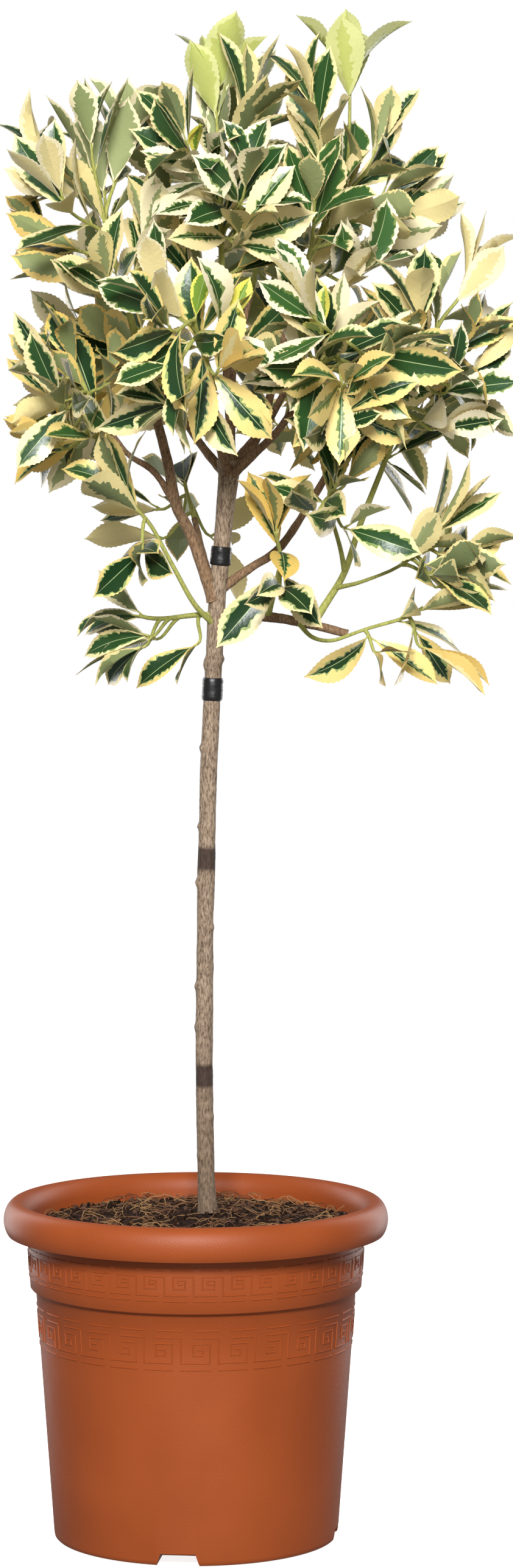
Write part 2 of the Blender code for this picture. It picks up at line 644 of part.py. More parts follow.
def leaf_at(shoot, distance, rank, azimuth, seed, change):
    """One leaf on a shoot, its blade facing the shoot's tip."""
    rng = random.Random(seed)
    spot, heading = along(shoot.route, lengths(shoot.route)[-1] - distance)
    turn, open_by, scale = change
    across = heading.cross(Vector((0.31, 0.17, 0.93))).normalized()
    radial = Quaternion(heading, azimuth + math.radians(turn)) @ across
    angle = math.radians(max(DIVERGENCE[rank] + rng.uniform(-9, 9) + open_by, 4))
    direction = (heading * math.cos(angle) + radial * math.sin(angle)).normalized()
    normal = heading * math.sin(angle) - radial * math.cos(angle)
    normal = Quaternion(direction, math.radians(rng.uniform(-32, 32))) @ normal
    length = LEAF_LENGTH * LEAF_SIZE[rank] * rng.uniform(0.88, 1.10) * scale
    return Leaf(spot - direction * SINK, direction, normal, length)


def fitted_leaf(shoot, distance, rank, azimuth, seed, name, space, spared):
    """The first of a leaf's changes that keeps to the mass's space and clear of all that is placed."""
    for change in CHANGES:
        leaf = leaf_at(shoot, distance, rank, azimuth, seed, change)
        points = leaf_points(leaf, CLEARANCE)
        if not all(in_space(p, name) for p in points if (p - leaf.root).length > STEM_EXEMPTION):
            continue
        if not space.hit(points, template_faces, spared):
            return leaf_points(leaf)
    return None


def grow(name, stem, space, stem_number):
    """The twigs and leaves of one mass."""
    twigs = []
    leaves = []
    for number, shoot in enumerate([stem] + shoots(name, stem)):
        shoot_number = stem_number
        if number > 0:
            mesh = tube_mesh(shoot.route, taper(shoot.route, shoot.radii), section=section)
            points, faces = mesh_shape(mesh)
            outside = [p for p in shoot.route if not in_space(p, name)]
            if any((p - shoot.route[0]).length > STEM_EXEMPTION for p in outside):
                continue
            root = shoot.route[0]
            clear_faces = [face for face in faces if all((points[i] - root).length > FORK_LENGTH for i in face)]
            if space.hit(points, clear_faces, {stem_number}) or space.hit(points, faces, kinds=("limb",)):
                continue
            shoot_number = space.add(points, faces, "twig")
            twigs.append(mesh)
        rng = random.Random(f"{name} {number}")
        azimuth = rng.uniform(0, math.pi)
        total = lengths(shoot.route)[-1]
        distance = 0.0012
        for rank, gap in enumerate(NODE_SPACING):
            distance += gap * rng.uniform(0.9, 1.15)
            if distance > total * (1 - BARE_SHARE) or distance > total - 0.008:
                break
            for side in range(2 if rank else 1):
                seed = f"{name} {number} {rank} {side}"
                turned_by = azimuth + math.pi * side
                place = distance + STAGGER * side
                fitted = fitted_leaf(shoot, place, rank, turned_by, seed, name, space, {shoot_number})
                if fitted:
                    space.add(fitted, template_faces, "leaf")
                    leaves.append(fitted)
            azimuth += math.pi / 2 + rng.uniform(-0.2, 0.2)
    return twigs, leaves


def leaf_mesh(points):
    mesh = template.copy()
    for vert, point in zip(mesh.vertices, points):
        vert.co = point
    return mesh


def fuse(name, stem_mesh, pieces):
    """Joins a mass into one solid: its stem, with a collection of twigs and leaves."""
    loose = new_collection(name + "_pieces")
    for i, mesh in enumerate(pieces):
        add_object(f"{name}_piece_{i}", mesh, loose)
    made = add_object(name, stem_mesh, plant)
    union = made.modifiers.new("Union", "BOOLEAN")
    union.operation = "UNION"
    union.operand_type = "COLLECTION"
    union.collection = loose
    union.solver = "EXACT"
    graph = bpy.context.evaluated_depsgraph_get()
    joined = bpy.data.meshes.new_from_object(made.evaluated_get(graph))
    made.modifiers.clear()
    made.data = joined
    joined.materials.clear()
    joined.materials.append(materials["leaf"])
    for thing in list(loose.objects):
        bpy.data.objects.remove(thing, do_unlink=True)
    bpy.data.collections.remove(loose)
    return made


def make_foliage():
    space = Space()
    for name in LIMBS:
        route = limb_route(name)
        shape = mesh_shape(tube_mesh(*grown(route, limb_radii(name, route), CLEARANCE)))
        space.add(*shape, "limb")
    for low, high in TIE_HEIGHTS.values():
        band = tie_route(low, high)
        shape = mesh_shape(tube_mesh(band, [STEM_RADIUS + 2.5 * TIE_THICKNESS] * len(band)))
        space.add(*shape, "limb")
    stems = {}
    for name in MASSES:
        stem = mass_stem(name)
        mesh = tube_mesh(stem.route, taper(stem.route, stem.radii), section=section)
        number = space.add(*mesh_shape(mesh), "stem")
        stems[name] = (stem, mesh, number)
    leaf_total = 0
    for name in MASSES:
        stem, mesh, number = stems[name]
        twigs, leaves = grow(name, stem, space, number)
        leaf_total += len(leaves)
        made = fuse(name, mesh, twigs + [leaf_mesh(points) for points in leaves])
        faces = sum(len(p.vertices) - 2 for p in made.data.polygons)
        print(f"{name}: {len(twigs)} twigs, {len(leaves)} leaves, {faces} triangles")
    print(f"{leaf_total} leaves in all")


clear_scene()
plant = new_collection("variegated_spindle")
cutters = new_collection("cutters")
seats = {}
materials = {
    "pot": material("pot plastic", "#B25E3C", 0.55),
    "soil": material("potting soil", "#2E1F15", 0.95),
    "bark": material("stem bark", "#8A7458", 0.85),
    "green": material("young bark", "#8E9448", 0.60),
    "tape": material("black tape", "#17171A", 0.45),
    "leaf": material("variegated leaf", "#A8AE72", 0.40),
}
make_pot()
make_soil()
make_limbs()
make_ties()
section = triangle_section()
template = leaf_template()
template_faces = [tuple(p.vertices) for p in template.polygons]
make_foliage()
bpy.data.objects.remove(section, do_unlink=True)
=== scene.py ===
# %% [markdown]
# # A variegated spindle, grown as a small standard tree
#
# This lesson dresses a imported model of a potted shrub: a bare stem, a round head of cream-edged
# leaves and a clay-coloured plastic pot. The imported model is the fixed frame. It says where each
# piece is, and every piece made here takes the place of one of its nodes.

# %% Load the frame
import math
import random
from collections import namedtuple

import bmesh
import bpy
import numpy as np
from mathutils import Matrix, Quaternion, Vector, noise
from mathutils.bvhtree import BVHTree


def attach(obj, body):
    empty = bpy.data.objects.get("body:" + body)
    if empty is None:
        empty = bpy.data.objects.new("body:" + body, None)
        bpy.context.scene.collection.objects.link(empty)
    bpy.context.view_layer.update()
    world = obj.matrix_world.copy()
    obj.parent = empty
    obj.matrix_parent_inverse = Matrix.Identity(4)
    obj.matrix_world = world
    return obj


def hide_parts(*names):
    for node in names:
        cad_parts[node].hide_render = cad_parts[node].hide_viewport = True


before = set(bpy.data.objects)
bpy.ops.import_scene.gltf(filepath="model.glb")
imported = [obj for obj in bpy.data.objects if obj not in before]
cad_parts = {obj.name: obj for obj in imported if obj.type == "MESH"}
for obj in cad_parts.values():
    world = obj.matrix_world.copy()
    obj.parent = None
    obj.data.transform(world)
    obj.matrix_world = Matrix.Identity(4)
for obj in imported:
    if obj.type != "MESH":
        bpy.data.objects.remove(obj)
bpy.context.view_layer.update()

UP = Vector((0, 0, 1))
print(f"{len(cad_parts)} nodes in the frame")

# %% [markdown]
# ## Colours and nodes
#
# Colours are written as sRGB hex, the way a colour picker shows them. Shaders work with linear
# light, so one function converts them. A second small function adds a shader node: a value that
# is a socket becomes a link, and any other value is set on the input itself.

# %% Colour and node helpers
def linear(code):
    """An sRGB hex colour as linear values with alpha."""
    parts = [int(code[i:i + 2], 16) / 255 for i in (1, 3, 5)]
    return tuple(c / 12.92 if c <= 0.04045 else ((c + 0.055) / 1.055) ** 2.4 for c in parts) + (1.0,)


def add_node(tree, kind, inputs=None, **settings):
    """One shader node, with its settings, values and links."""
    made = tree.nodes.new(kind)
    for name, value in settings.items():
        setattr(made, name, value)
    for name, value in (inputs or {}).items():
        if isinstance(value, bpy.types.NodeSocket):
            tree.links.new(value, made.inputs[name])
        else:
            made.inputs[name].default_value = value
    return made


def new_material(name, code, roughness, **values):
    """A Principled material of one plain colour, ready for a pattern."""
    made = bpy.data.materials.new(name)
    made.use_nodes = True
    made.diffuse_color = linear(code)
    shader = made.node_tree.nodes["Principled BSDF"]
    shader.inputs["Base Color"].default_value = linear(code)
    shader.inputs["Roughness"].default_value = roughness
    for socket, value in values.items():
        shader.inputs[socket.replace("_", " ")].default_value = value
    return made, made.node_tree, shader


def grain(tree, shader, millimetres, height, strength=0.5, detail=3.0):
    """Surface grain of a real size, as a bump from noise."""
    place = add_node(tree, "ShaderNodeTexCoord")
    pattern = add_node(tree, "ShaderNodeTexNoise", {
        "Vector": place.outputs["Object"], "Scale": 1000 / millimetres, "Detail": detail})
    bump = add_node(tree, "ShaderNodeBump", {
        "Height": pattern.outputs["Fac"], "Distance": height, "Strength": strength})
    tree.links.new(bump.outputs["Normal"], shader.inputs["Normal"])
    return pattern


def two_tone(tree, shader, factor, first, second, low=0.35, high=0.65):
    """A base colour that runs between two colours as a pattern rises."""
    ramp = add_node(tree, "ShaderNodeValToRGB", {"Fac": factor})
    ramp.color_ramp.elements[0].position = low
    ramp.color_ramp.elements[0].color = linear(first)
    ramp.color_ramp.elements[1].position = high
    ramp.color_ramp.elements[1].color = linear(second)
    tree.links.new(ramp.outputs["Color"], shader.inputs["Base Color"])
    return ramp


# %% [markdown]
# ## Meshes that collect many small things
#
# Leaves, twigs and fibres number in the thousands. Each would be slow as an object of its own, so
# a basket collects their points and faces, and becomes one mesh at the end. Each face also keeps
# the number of its material.

# %% A basket for points and faces
class Basket:
    def __init__(self):
        self.points = []
        self.faces = []
        self.slots = []

    def add(self, points, faces, slots):
        start = len(self.points)
        self.points.extend(points)
        self.faces.extend([tuple(start + i for i in face) for face in faces])
        self.slots.extend(slots)

    def make(self, name, materials, angle=40):
        mesh = bpy.data.meshes.new(name)
        mesh.from_pydata([tuple(p) for p in self.points], [], self.faces)
        for finish in materials:
            mesh.materials.append(finish)
        mesh.polygons.foreach_set("material_index", self.slots)
        mesh.shade_smooth()
        mesh.set_sharp_from_angle(angle=math.radians(angle))
        made = bpy.data.objects.new(name, mesh)
        bpy.context.scene.collection.objects.link(made)
        return made


def dress(piece, slot, *nodes):
    """Every piece rides on the one body, and may stand for nodes of the frame. Its slot is not used."""
    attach(piece, "root")
    if nodes:
        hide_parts(*nodes)
    return piece


# %% [markdown]
# ## Camera and light
#
# The photograph was taken with a long lens a little above the middle of the plant, against white,
# with a soft front light and a light on each side from behind. Area lights give the same soft
# edges, and the side lights draw the bright rims on the pot's flanks.

# %% Camera and light
LENS = 101.0
CAMERA_PLACE = Vector((0.0441, -3.183, 0.746))
CAMERA_TARGET = Vector((0.0441, 0.0, 0.550))
lens = bpy.data.cameras.new("camera")
lens.lens = LENS
lens.sensor_width = 36.0
camera = bpy.data.objects.new("camera", lens)
camera.location = CAMERA_PLACE
camera.rotation_euler = (CAMERA_TARGET - CAMERA_PLACE).to_track_quat("-Z", "Y").to_euler()
bpy.context.scene.collection.objects.link(camera)
bpy.context.scene.camera = camera


def area_light(name, place, target, size, watts):
    light = bpy.data.lights.new(name, "AREA")
    light.shape = "RECTANGLE"
    light.size, light.size_y = size
    light.energy = watts
    lamp = bpy.data.objects.new(name, light)
    lamp.location = place
    lamp.rotation_euler = (Vector(target) - Vector(place)).to_track_quat("-Z", "Y").to_euler()
    bpy.context.scene.collection.objects.link(lamp)


area_light("key_light", (-0.15, -3.0, 1.95), (0, 0, 0.6), (0.9, 0.9), 150)
area_light("fill_light", (0.5, -3.0, 0.6), (0, 0, 0.5), (1.2, 1.2), 8)
area_light("left_rim_light", (-1.1, 1.3, 0.6), (0, 0, 0.5), (0.4, 1.6), 14)
area_light("right_rim_light", (1.1, 1.3, 0.6), (0, 0, 0.5), (0.4, 1.6), 14)

world = bpy.data.worlds.new("studio")
world.use_nodes = True
sky = world.node_tree.nodes["Background"]
sky.inputs["Color"].default_value = linear("#FFFFFF")
seen = add_node(world.node_tree, "ShaderNodeLightPath")
strength = add_node(world.node_tree, "ShaderNodeMapRange", {
    "Value": seen.outputs["Is Camera Ray"], "To Min": 0.27, "To Max": 1.0})
world.node_tree.links.new(strength.outputs["Result"], sky.inputs["Strength"])
bpy.context.scene.world = world
bpy.context.scene.view_settings.view_transform = "Standard"

FLOOR_SIZE = 12.0
floor_finish = new_material("white painted floor", "#F4F3F1", 0.8, Emission_Strength=0.85,
                            Emission_Color=linear("#FFFFFF"))[0]
floor_mesh = bpy.data.meshes.new("floor")
shape = bmesh.new()
bmesh.ops.create_grid(shape, x_segments=1, y_segments=1, size=FLOOR_SIZE / 2)
shape.to_mesh(floor_mesh)
shape.free()
floor_mesh.materials.append(floor_finish)
floor = bpy.data.objects.new("floor", floor_mesh)
floor.location = (0, 0, -0.0005)
bpy.context.scene.collection.objects.link(floor)
# The floor tints nothing and shows in no reflection.
floor.visible_diffuse = False
floor.visible_glossy = False

# %% [markdown]
# ## Tubes
#
# Stem, boughs, twigs, stalks and fibres are all tubes along a route. A curve with a bevel would do
# for plain ones, but bark needs relief, so the tube is built ring by ring, and a relief function
# may move each point out or in.

# %% Routes and tubes
def smooth_route(points, steps):
    """A Catmull-Rom curve through given points."""
    points = [Vector(p) for p in points]
    ends = [2 * points[0] - points[1]] + points + [2 * points[-1] - points[-2]]
    route = []
    for i in range(1, len(ends) - 2):
        a, b, c, d = ends[i - 1:i + 3]
        for step in range(steps):
            t = step / steps
            route.append(0.5 * (2 * b + (c - a) * t + (2 * a - 5 * b + 4 * c - d) * t ** 2
                                + (3 * b - a - 3 * c + d) * t ** 3))
    return route + [points[-1]]


def bend(start, start_direction, end, end_direction, pull=0.38, steps=3):
    """A cubic curve that leaves and arrives in the given directions."""
    reach = (end - start).length * pull
    a, b, c, d = start, start + start_direction * reach, end - end_direction * reach, end
    ts = [i / steps for i in range(steps + 1)]
    return [a * (1 - t) ** 3 + b * 3 * t * (1 - t) ** 2 + c * 3 * t * t * (1 - t) + d * t ** 3 for t in ts]


def lengths(route):
    total = [0.0]
    for a, b in zip(route, route[1:]):
        total.append(total[-1] + (b - a).length)
    return total


def along(route, distance):
    """The point and direction at a distance along a route."""
    marks = lengths(route)
    distance = min(max(distance, 0.0), marks[-1])
    for i in range(len(route) - 1):
        if distance <= marks[i + 1] or i == len(route) - 2:
            share = (distance - marks[i]) / (marks[i + 1] - marks[i])
            return route[i].lerp(route[i + 1], share), (route[i + 1] - route[i]).normalized()


def taper(route, radii):
    marks = lengths(route)
    return [radii[0] + (radii[1] - radii[0]) * mark / marks[-1] for mark in marks]


def tube(basket, route, radii, sides, slot, relief=None):
    """A closed tube along a route. Relief takes a point and its angle, and gives metres outwards."""
    across = (route[1] - route[0]).cross(Vector((0.31, 0.95, 0.07))).normalized()
    points = []
    for i, (middle, radius) in enumerate(zip(route, radii)):
        ahead = (route[min(i + 1, len(route) - 1)] - route[max(i - 1, 0)]).normalized()
        across = (across - ahead * across.dot(ahead)).normalized()
        other = ahead.cross(across)
        for side in range(sides):
            angle = math.tau * side / sides
            out = across * math.cos(angle) + other * math.sin(angle)
            reach = radius + (relief(middle + out * radius, out) if relief else 0.0)
            points.append(middle + out * reach)
    faces = []
    for i in range(len(route) - 1):
        for side in range(sides):
            a, b = i * sides + side, i * sides + (side + 1) % sides
            faces.append((a, b, b + sides, a + sides))
    faces.append(tuple(reversed(range(sides))))
    faces.append(tuple(range(len(points) - sides, len(points))))
    basket.add(points, faces, [slot] * len(faces))


def ring_solid(basket, profile, sides, slot):
    """A solid of revolution. The profile runs from the axis round the outside and back to it."""
    points = [Vector((0, 0, profile[0][1]))]
    for radius, height in profile[1:-1]:
        for side in range(sides):
            angle = math.tau * side / sides
            points.append(Vector((radius * math.cos(angle), radius * math.sin(angle), height)))
    points.append(Vector((0, 0, profile[-1][1])))
    last = len(points) - 1
    faces = []
    for side in range(sides):
        after = (side + 1) % sides
        faces.append((0, 1 + after, 1 + side))
        for row in range(len(profile) - 3):
            a, b = 1 + row * sides + side, 1 + row * sides + after
            faces.append((a, b, b + sides, a + sides))
        faces.append((last, last - sides + side, last - sides + after))
    basket.add(points, faces, [slot] * len(faces))


# %% [markdown]
# ## The pot
#
# The pot is injection-moulded polypropylene, coloured through to look like clay. Its mould was
# spark-eroded, which leaves a fine orange-peel grain, so highlights are broad and soft. It is a
# turned shape: wall, step, wider band and rolled rim, with drain channels cut through the foot.

# %% Pot plastic
GRAIN_SIZE = 0.9
plastic, tree, shader = new_material(
    "moulded polypropylene", "#99481E", 0.48, IOR=1.49, Specular_IOR_Level=0.3)
grain(tree, shader, GRAIN_SIZE, 0.00022, strength=0.8)
cloud_place = add_node(tree, "ShaderNodeTexCoord")
clouds = add_node(tree, "ShaderNodeTexNoise", {"Vector": cloud_place.outputs["Object"], "Scale": 14.0})
two_tone(tree, shader, clouds.outputs["Fac"], "#93441B", "#9E4B20", 0.3, 0.7)

# %% Pot body
RIM_RADIUS = 0.140
RIM_HALF_WIDTH = 0.0095
RIM_HALF_HEIGHT = 0.0140
POT_HEIGHT = 0.247
FOOT_RADIUS = 0.1035
WALL_SLOPE = 0.0718
WALL = 0.0025
STEP_HEIGHT = 0.183
STEP_LEDGE = 0.0041
BAND_SLOPE = 0.052
POT_FLOOR = 0.012
LIP_CURL = -45
POT_SIDES = 180
DRAIN_COUNT = 4
DRAIN_TURN = 6.5
DRAIN_TOP_WIDTH = 0.025
DRAIN_FOOT_WIDTH = 0.0323
DRAIN_HEIGHT = 0.009
CUT_FOOT = -0.002
DRAIN_DEPTH = 0.034
DRAIN_PAST_WALL = 0.008


def wall_radius(height):
    """The outer face of the pot's wall, with the wider band above the step."""
    ledge = STEP_LEDGE if height > STEP_HEIGHT else 0.0
    below = WALL_SLOPE * min(height, STEP_HEIGHT)
    return FOOT_RADIUS + below + ledge + BAND_SLOPE * max(height - STEP_HEIGHT, 0)


def rim_arc(inset, start, end, steps):
    """Points round the rolled rim's oval section, from one angle to the other."""
    points = []
    for i in range(steps + 1):
        angle = math.radians(start + (end - start) * i / steps)
        points.append((RIM_RADIUS - RIM_HALF_WIDTH + (RIM_HALF_WIDTH - inset) * math.cos(angle),
                       POT_HEIGHT - RIM_HALF_HEIGHT + (RIM_HALF_HEIGHT - inset) * math.sin(angle)))
    return points


def pot_profile():
    step_radius = wall_radius(STEP_HEIGHT)
    band_radius = wall_radius(STEP_HEIGHT + 0.0005)
    profile = [(0, 0), (FOOT_RADIUS - 0.0030, 0)]
    profile += [(FOOT_RADIUS - 0.0012, 0.0004), (FOOT_RADIUS - 0.0002, 0.0014), (wall_radius(0.004), 0.004)]
    profile += [(wall_radius(h), h) for h in (0.05, 0.10, 0.15)]
    profile += [(step_radius, STEP_HEIGHT - 0.0006), (step_radius + 0.0006, STEP_HEIGHT)]
    profile += [(band_radius - 0.0010, STEP_HEIGHT + 0.0002), (band_radius, STEP_HEIGHT + 0.0014)]
    profile += [(wall_radius(h), h) for h in (0.200, 0.215, 0.2225)]
    profile += rim_arc(WALL, 180, LIP_CURL, 14)
    profile += rim_arc(0, LIP_CURL, 180, 26)
    profile += [(band_radius - WALL, STEP_HEIGHT + 0.002), (step_radius - WALL, STEP_HEIGHT - WALL)]
    return profile + [(wall_radius(POT_FLOOR) - WALL, POT_FLOOR), (0, POT_FLOOR)]


def drain_channels():
    """A cutter for the channels under the foot, wider at the bottom."""
    cutter = bmesh.new()
    for i in range(DRAIN_COUNT):
        turn = math.radians(-90 - DRAIN_TURN) + math.tau * i / DRAIN_COUNT
        corners = bmesh.ops.create_cube(cutter, size=1.0)["verts"]
        middle = FOOT_RADIUS - DRAIN_DEPTH / 2 + DRAIN_PAST_WALL / 2
        for corner in corners:
            width = DRAIN_TOP_WIDTH if corner.co.z > 0 else DRAIN_FOOT_WIDTH
            height = DRAIN_HEIGHT if corner.co.z > 0 else CUT_FOOT
            reach = middle + corner.co.x * (DRAIN_DEPTH + DRAIN_PAST_WALL)
            corner.co = Vector((reach, corner.co.y * width, height))
        bmesh.ops.rotate(cutter, verts=corners, cent=(0, 0, 0), matrix=Matrix.Rotation(turn, 3, "Z"))
    mesh = bpy.data.meshes.new("drain_channels")
    cutter.to_mesh(mesh)
    cutter.free()
    made = bpy.data.objects.new("drain_channels", mesh)
    bpy.context.scene.collection.objects.link(made)
    return made


def cut_with(piece, cutter):
    """Cuts the piece with the cutter, keeps the result as its mesh, and removes the cutter."""
    boolean = piece.modifiers.new("Cut", "BOOLEAN")
    boolean.object = cutter
    boolean.solver = "EXACT"
    graph = bpy.context.evaluated_depsgraph_get()
    result = bpy.data.meshes.new_from_object(piece.evaluated_get(graph))
    piece.modifiers.clear()
    piece.data = result
    bpy.data.objects.remove(cutter, do_unlink=True)


pot_basket = Basket()
ring_solid(pot_basket, pot_profile(), POT_SIDES, 0)
pot_piece = pot_basket.make("pot_shell", [plastic], angle=50)
cut_with(pot_piece, drain_channels())
pot_piece.data.set_sharp_from_angle(angle=math.radians(50))
dress(pot_piece, "pot_plastic", "pot")
print(f"pot: {len(pot_piece.data.polygons)} faces")

# %% [markdown]
# ## The raised key pattern
#
# Two bands of a Greek key, the traditional square spiral, stand out of the wall by half a
# millimetre. One repeat is a single line on squared paper, so it is written as corner points in
# its own units, then wrapped round the wall. Bars with a narrow top catch the light as moulded
# lines do.

# %% Key pattern
LINE_WIDTH = 0.0011
LINE_TOP = 0.0005
LINE_HEIGHT = 0.00055
LINE_SINK = 0.0004
LINE_STEP = 0.006
Band = namedtuple("Band", "repeats pitch low tall units lines")
LOWER_BAND = Band(27, 173, 0.1478, 0.0182, 117, [
    [(0, 117), (113, 117), (113, 0), (246, 0), (246, 89), (170, 89), (170, 35), (213, 35),
     (213, 62), (188, 62)],
    [(0, 150), (118, 150)],
    [(114, -33), (247, -33)]])
UPPER_BAND = Band(37, 136, 0.1970, 0.0136, 89, [
    [(105, 0), (0, 0), (0, 89), (-95, 89), (-95, 32), (-40, 32), (-40, 72), (-72, 72), (-72, 54), (-52, 54)],
    [(0, -26), (100, -26)],
    [(35, 117), (130, 117)]])


def wall_point(turn, height, out):
    """A point on the wall at an angle right of the front, lifted out of it."""
    radius = wall_radius(height) + out
    return Vector((radius * math.sin(turn), -radius * math.cos(turn), height))


def bar(basket, start, end):
    """A raised bar between two places on the wall, each an angle and a height."""
    start, end = Vector(start), Vector(end)
    radius = wall_radius((start.y + end.y) / 2)
    run = Vector(((end.x - start.x) * radius, end.y - start.y))
    ahead = run.normalized()
    side = Vector((-ahead.y, ahead.x))
    steps = max(1, round(run.length / LINE_STEP))
    section = ((-LINE_WIDTH / 2, -LINE_SINK), (LINE_WIDTH / 2, -LINE_SINK), (LINE_WIDTH / 2, 0.0),
               (LINE_TOP / 2, LINE_HEIGHT), (-LINE_TOP / 2, LINE_HEIGHT), (-LINE_WIDTH / 2, 0.0))
    points = []
    for i in range(steps + 1):
        extra = (2 * i / steps - 1) * LINE_WIDTH / 2
        middle = run * (i / steps) + ahead * extra
        for across, out in section:
            place = middle + side * across
            points.append(wall_point(start.x + place.x / radius, start.y + place.y, out))
    count = len(section)
    faces = [tuple(range(count)), tuple(reversed(range(len(points) - count, len(points))))]
    for i in range(steps):
        for k in range(count):
            a, b = i * count + k, i * count + (k + 1) % count
            faces.append((b, a, a + count, b + count))
    basket.add(points, faces, [0] * len(faces))


key_basket = Basket()
for band in (LOWER_BAND, UPPER_BAND):
    for repeat in range(band.repeats):
        for line in band.lines:
            places = [(math.tau * (repeat + x / band.pitch) / band.repeats,
                       band.low + y * band.tall / band.units)
                      for x, y in line]
            for a, b in zip(places, places[1:]):
                bar(key_basket, a, b)
key_piece = dress(key_basket.make("pot_key_pattern", [plastic], angle=25), "pot_plastic")
print(f"key pattern: {len(key_piece.data.polygons)} faces")

# %% [markdown]
# ## The soil
#
# Potting soil here is moist peat with coir, so it is nearly black with tan fibres that curl over
# it. The surface is a disc pushed up and down by noise of two sizes, with crumbs and fibres made
# as small closed shapes on top.

# %% Soil finishes
peat, tree, shader = new_material("moist peat", "#2A1B12", 0.95, Specular_IOR_Level=0.1)
crumb_pattern = grain(tree, shader, 2.2, 0.0012, strength=0.9, detail=6.0)
two_tone(tree, shader, crumb_pattern.outputs["Fac"], "#100A06", "#38241A")
coir_tan = new_material("coir fibre, tan", "#805836", 0.9)[0]
coir_brown = new_material("coir fibre, brown", "#4E3322", 0.9)[0]
coir_pale = new_material("coir fibre, pale", "#A17B50", 0.9)[0]

# %% Soil surface
SOIL_TOP = 0.2345
SOIL_EDGE = 0.2295
SOIL_RADIUS = 0.1183
SOIL_RINGS = 60
SOIL_SIDES = 150
SOIL_SKIRT = 0.018


def soil_height(x, y):
    """The mounded surface: lumps a centimetre across, with crumbs on them."""
    distance = math.hypot(x, y) / SOIL_RADIUS
    base = SOIL_TOP - 0.0012 - (SOIL_TOP - SOIL_EDGE) * distance ** 3
    lumps = noise.noise(Vector((x * 70, y * 70, 3.1))) * 0.0030
    crumbs = noise.noise(Vector((x * 260, y * 260, 7.7))) * 0.0014
    return base + lumps + crumbs


soil_basket = Basket()
soil_points = [Vector((0, 0, soil_height(0, 0)))]
for ring in range(1, SOIL_RINGS + 1):
    radius = SOIL_RADIUS * ring / SOIL_RINGS
    for side in range(SOIL_SIDES):
        angle = math.tau * side / SOIL_SIDES
        x, y = radius * math.cos(angle), radius * math.sin(angle)
        soil_points.append(Vector((x, y, soil_height(x, y))))
for side in range(SOIL_SIDES):
    angle = math.tau * side / SOIL_SIDES
    low = SOIL_EDGE - SOIL_SKIRT
    soil_points.append(Vector((SOIL_RADIUS * math.cos(angle), SOIL_RADIUS * math.sin(angle), low)))
soil_faces = []
for side in range(SOIL_SIDES):
    after = (side + 1) % SOIL_SIDES
    soil_faces.append((0, 1 + side, 1 + after))
    for ring in range(SOIL_RINGS):
        a, b = 1 + ring * SOIL_SIDES + side, 1 + ring * SOIL_SIDES + after
        soil_faces.append((a, a + SOIL_SIDES, b + SOIL_SIDES, b))
soil_faces.append(tuple(reversed(range(len(soil_points) - SOIL_SIDES, len(soil_points)))))
soil_basket.add(soil_points, soil_faces, [0] * len(soil_faces))
soil_piece = dress(soil_basket.make("peat_soil", [peat], angle=60), "soil", "soil")

# %% Fibres and crumbs
FIBRES = 420
CRUMBS = 900
rng = random.Random(11)
fibre_basket = Basket()
for _ in range(FIBRES):
    reach = SOIL_RADIUS * math.sqrt(rng.uniform(0.02, 0.99))
    angle = rng.uniform(0, math.tau)
    heading = rng.uniform(0, math.tau)
    curl = rng.uniform(-260, 260)
    length = rng.uniform(0.010, 0.046)
    lift = rng.uniform(0.0, 0.006)
    spot = Vector((reach * math.cos(angle), reach * math.sin(angle), 0))
    route = []
    for i in range(9):
        if math.hypot(spot.x, spot.y) > SOIL_RADIUS - 0.002:
            spot = spot * ((SOIL_RADIUS - 0.002) / spot.length)
        height = soil_height(spot.x, spot.y) + 0.0003 + lift * math.sin(math.pi * i / 8)
        route.append(Vector((spot.x, spot.y, height + 0.0001 * i)))
        spot = spot + Vector((math.cos(heading), math.sin(heading), 0)) * (length / 8)
        heading += curl * length / 8 + rng.uniform(-0.25, 0.25)
    tube(fibre_basket, route, [rng.uniform(0.00016, 0.00034)] * 9, 4, rng.choice((0, 0, 1, 1, 2)))
fibre_piece = dress(fibre_basket.make("coir_fibres", [coir_tan, coir_brown, coir_pale]), "soil")

crumb_basket = Basket()
for _ in range(CRUMBS):
    reach = (SOIL_RADIUS - 0.003) * math.sqrt(rng.uniform(0.0, 1.0))
    angle = rng.uniform(0, math.tau)
    size = rng.uniform(0.0007, 0.0024)
    middle = Vector((reach * math.cos(angle), reach * math.sin(angle), 0))
    middle.z = soil_height(middle.x, middle.y) + size * 0.3
    lump = bmesh.new()
    bmesh.ops.create_icosphere(lump, subdivisions=1, radius=size)
    points = [middle + v.co * rng.uniform(0.6, 1.15) for v in lump.verts]
    faces = [tuple(v.index for v in f.verts) for f in lump.faces]
    lump.free()
    crumb_basket.add(points, faces, [rng.choice((0, 0, 0, 1))] * len(faces))
crumb_piece = dress(crumb_basket.make("peat_crumbs", [peat, coir_brown]), "soil")
print(f"soil: {FIBRES} fibres and {CRUMBS} crumbs")

# %% [markdown]
# ## Stem and boughs
#
# The stem is pencil-thick, grey-tan and finely fissured, with round scars where side shoots were
# rubbed off. Each limb starts on its parent's middle line, so the join is hidden inside. The
# routes are the frame's own, and relief is added on top: long fissures, fine roughness, scars.

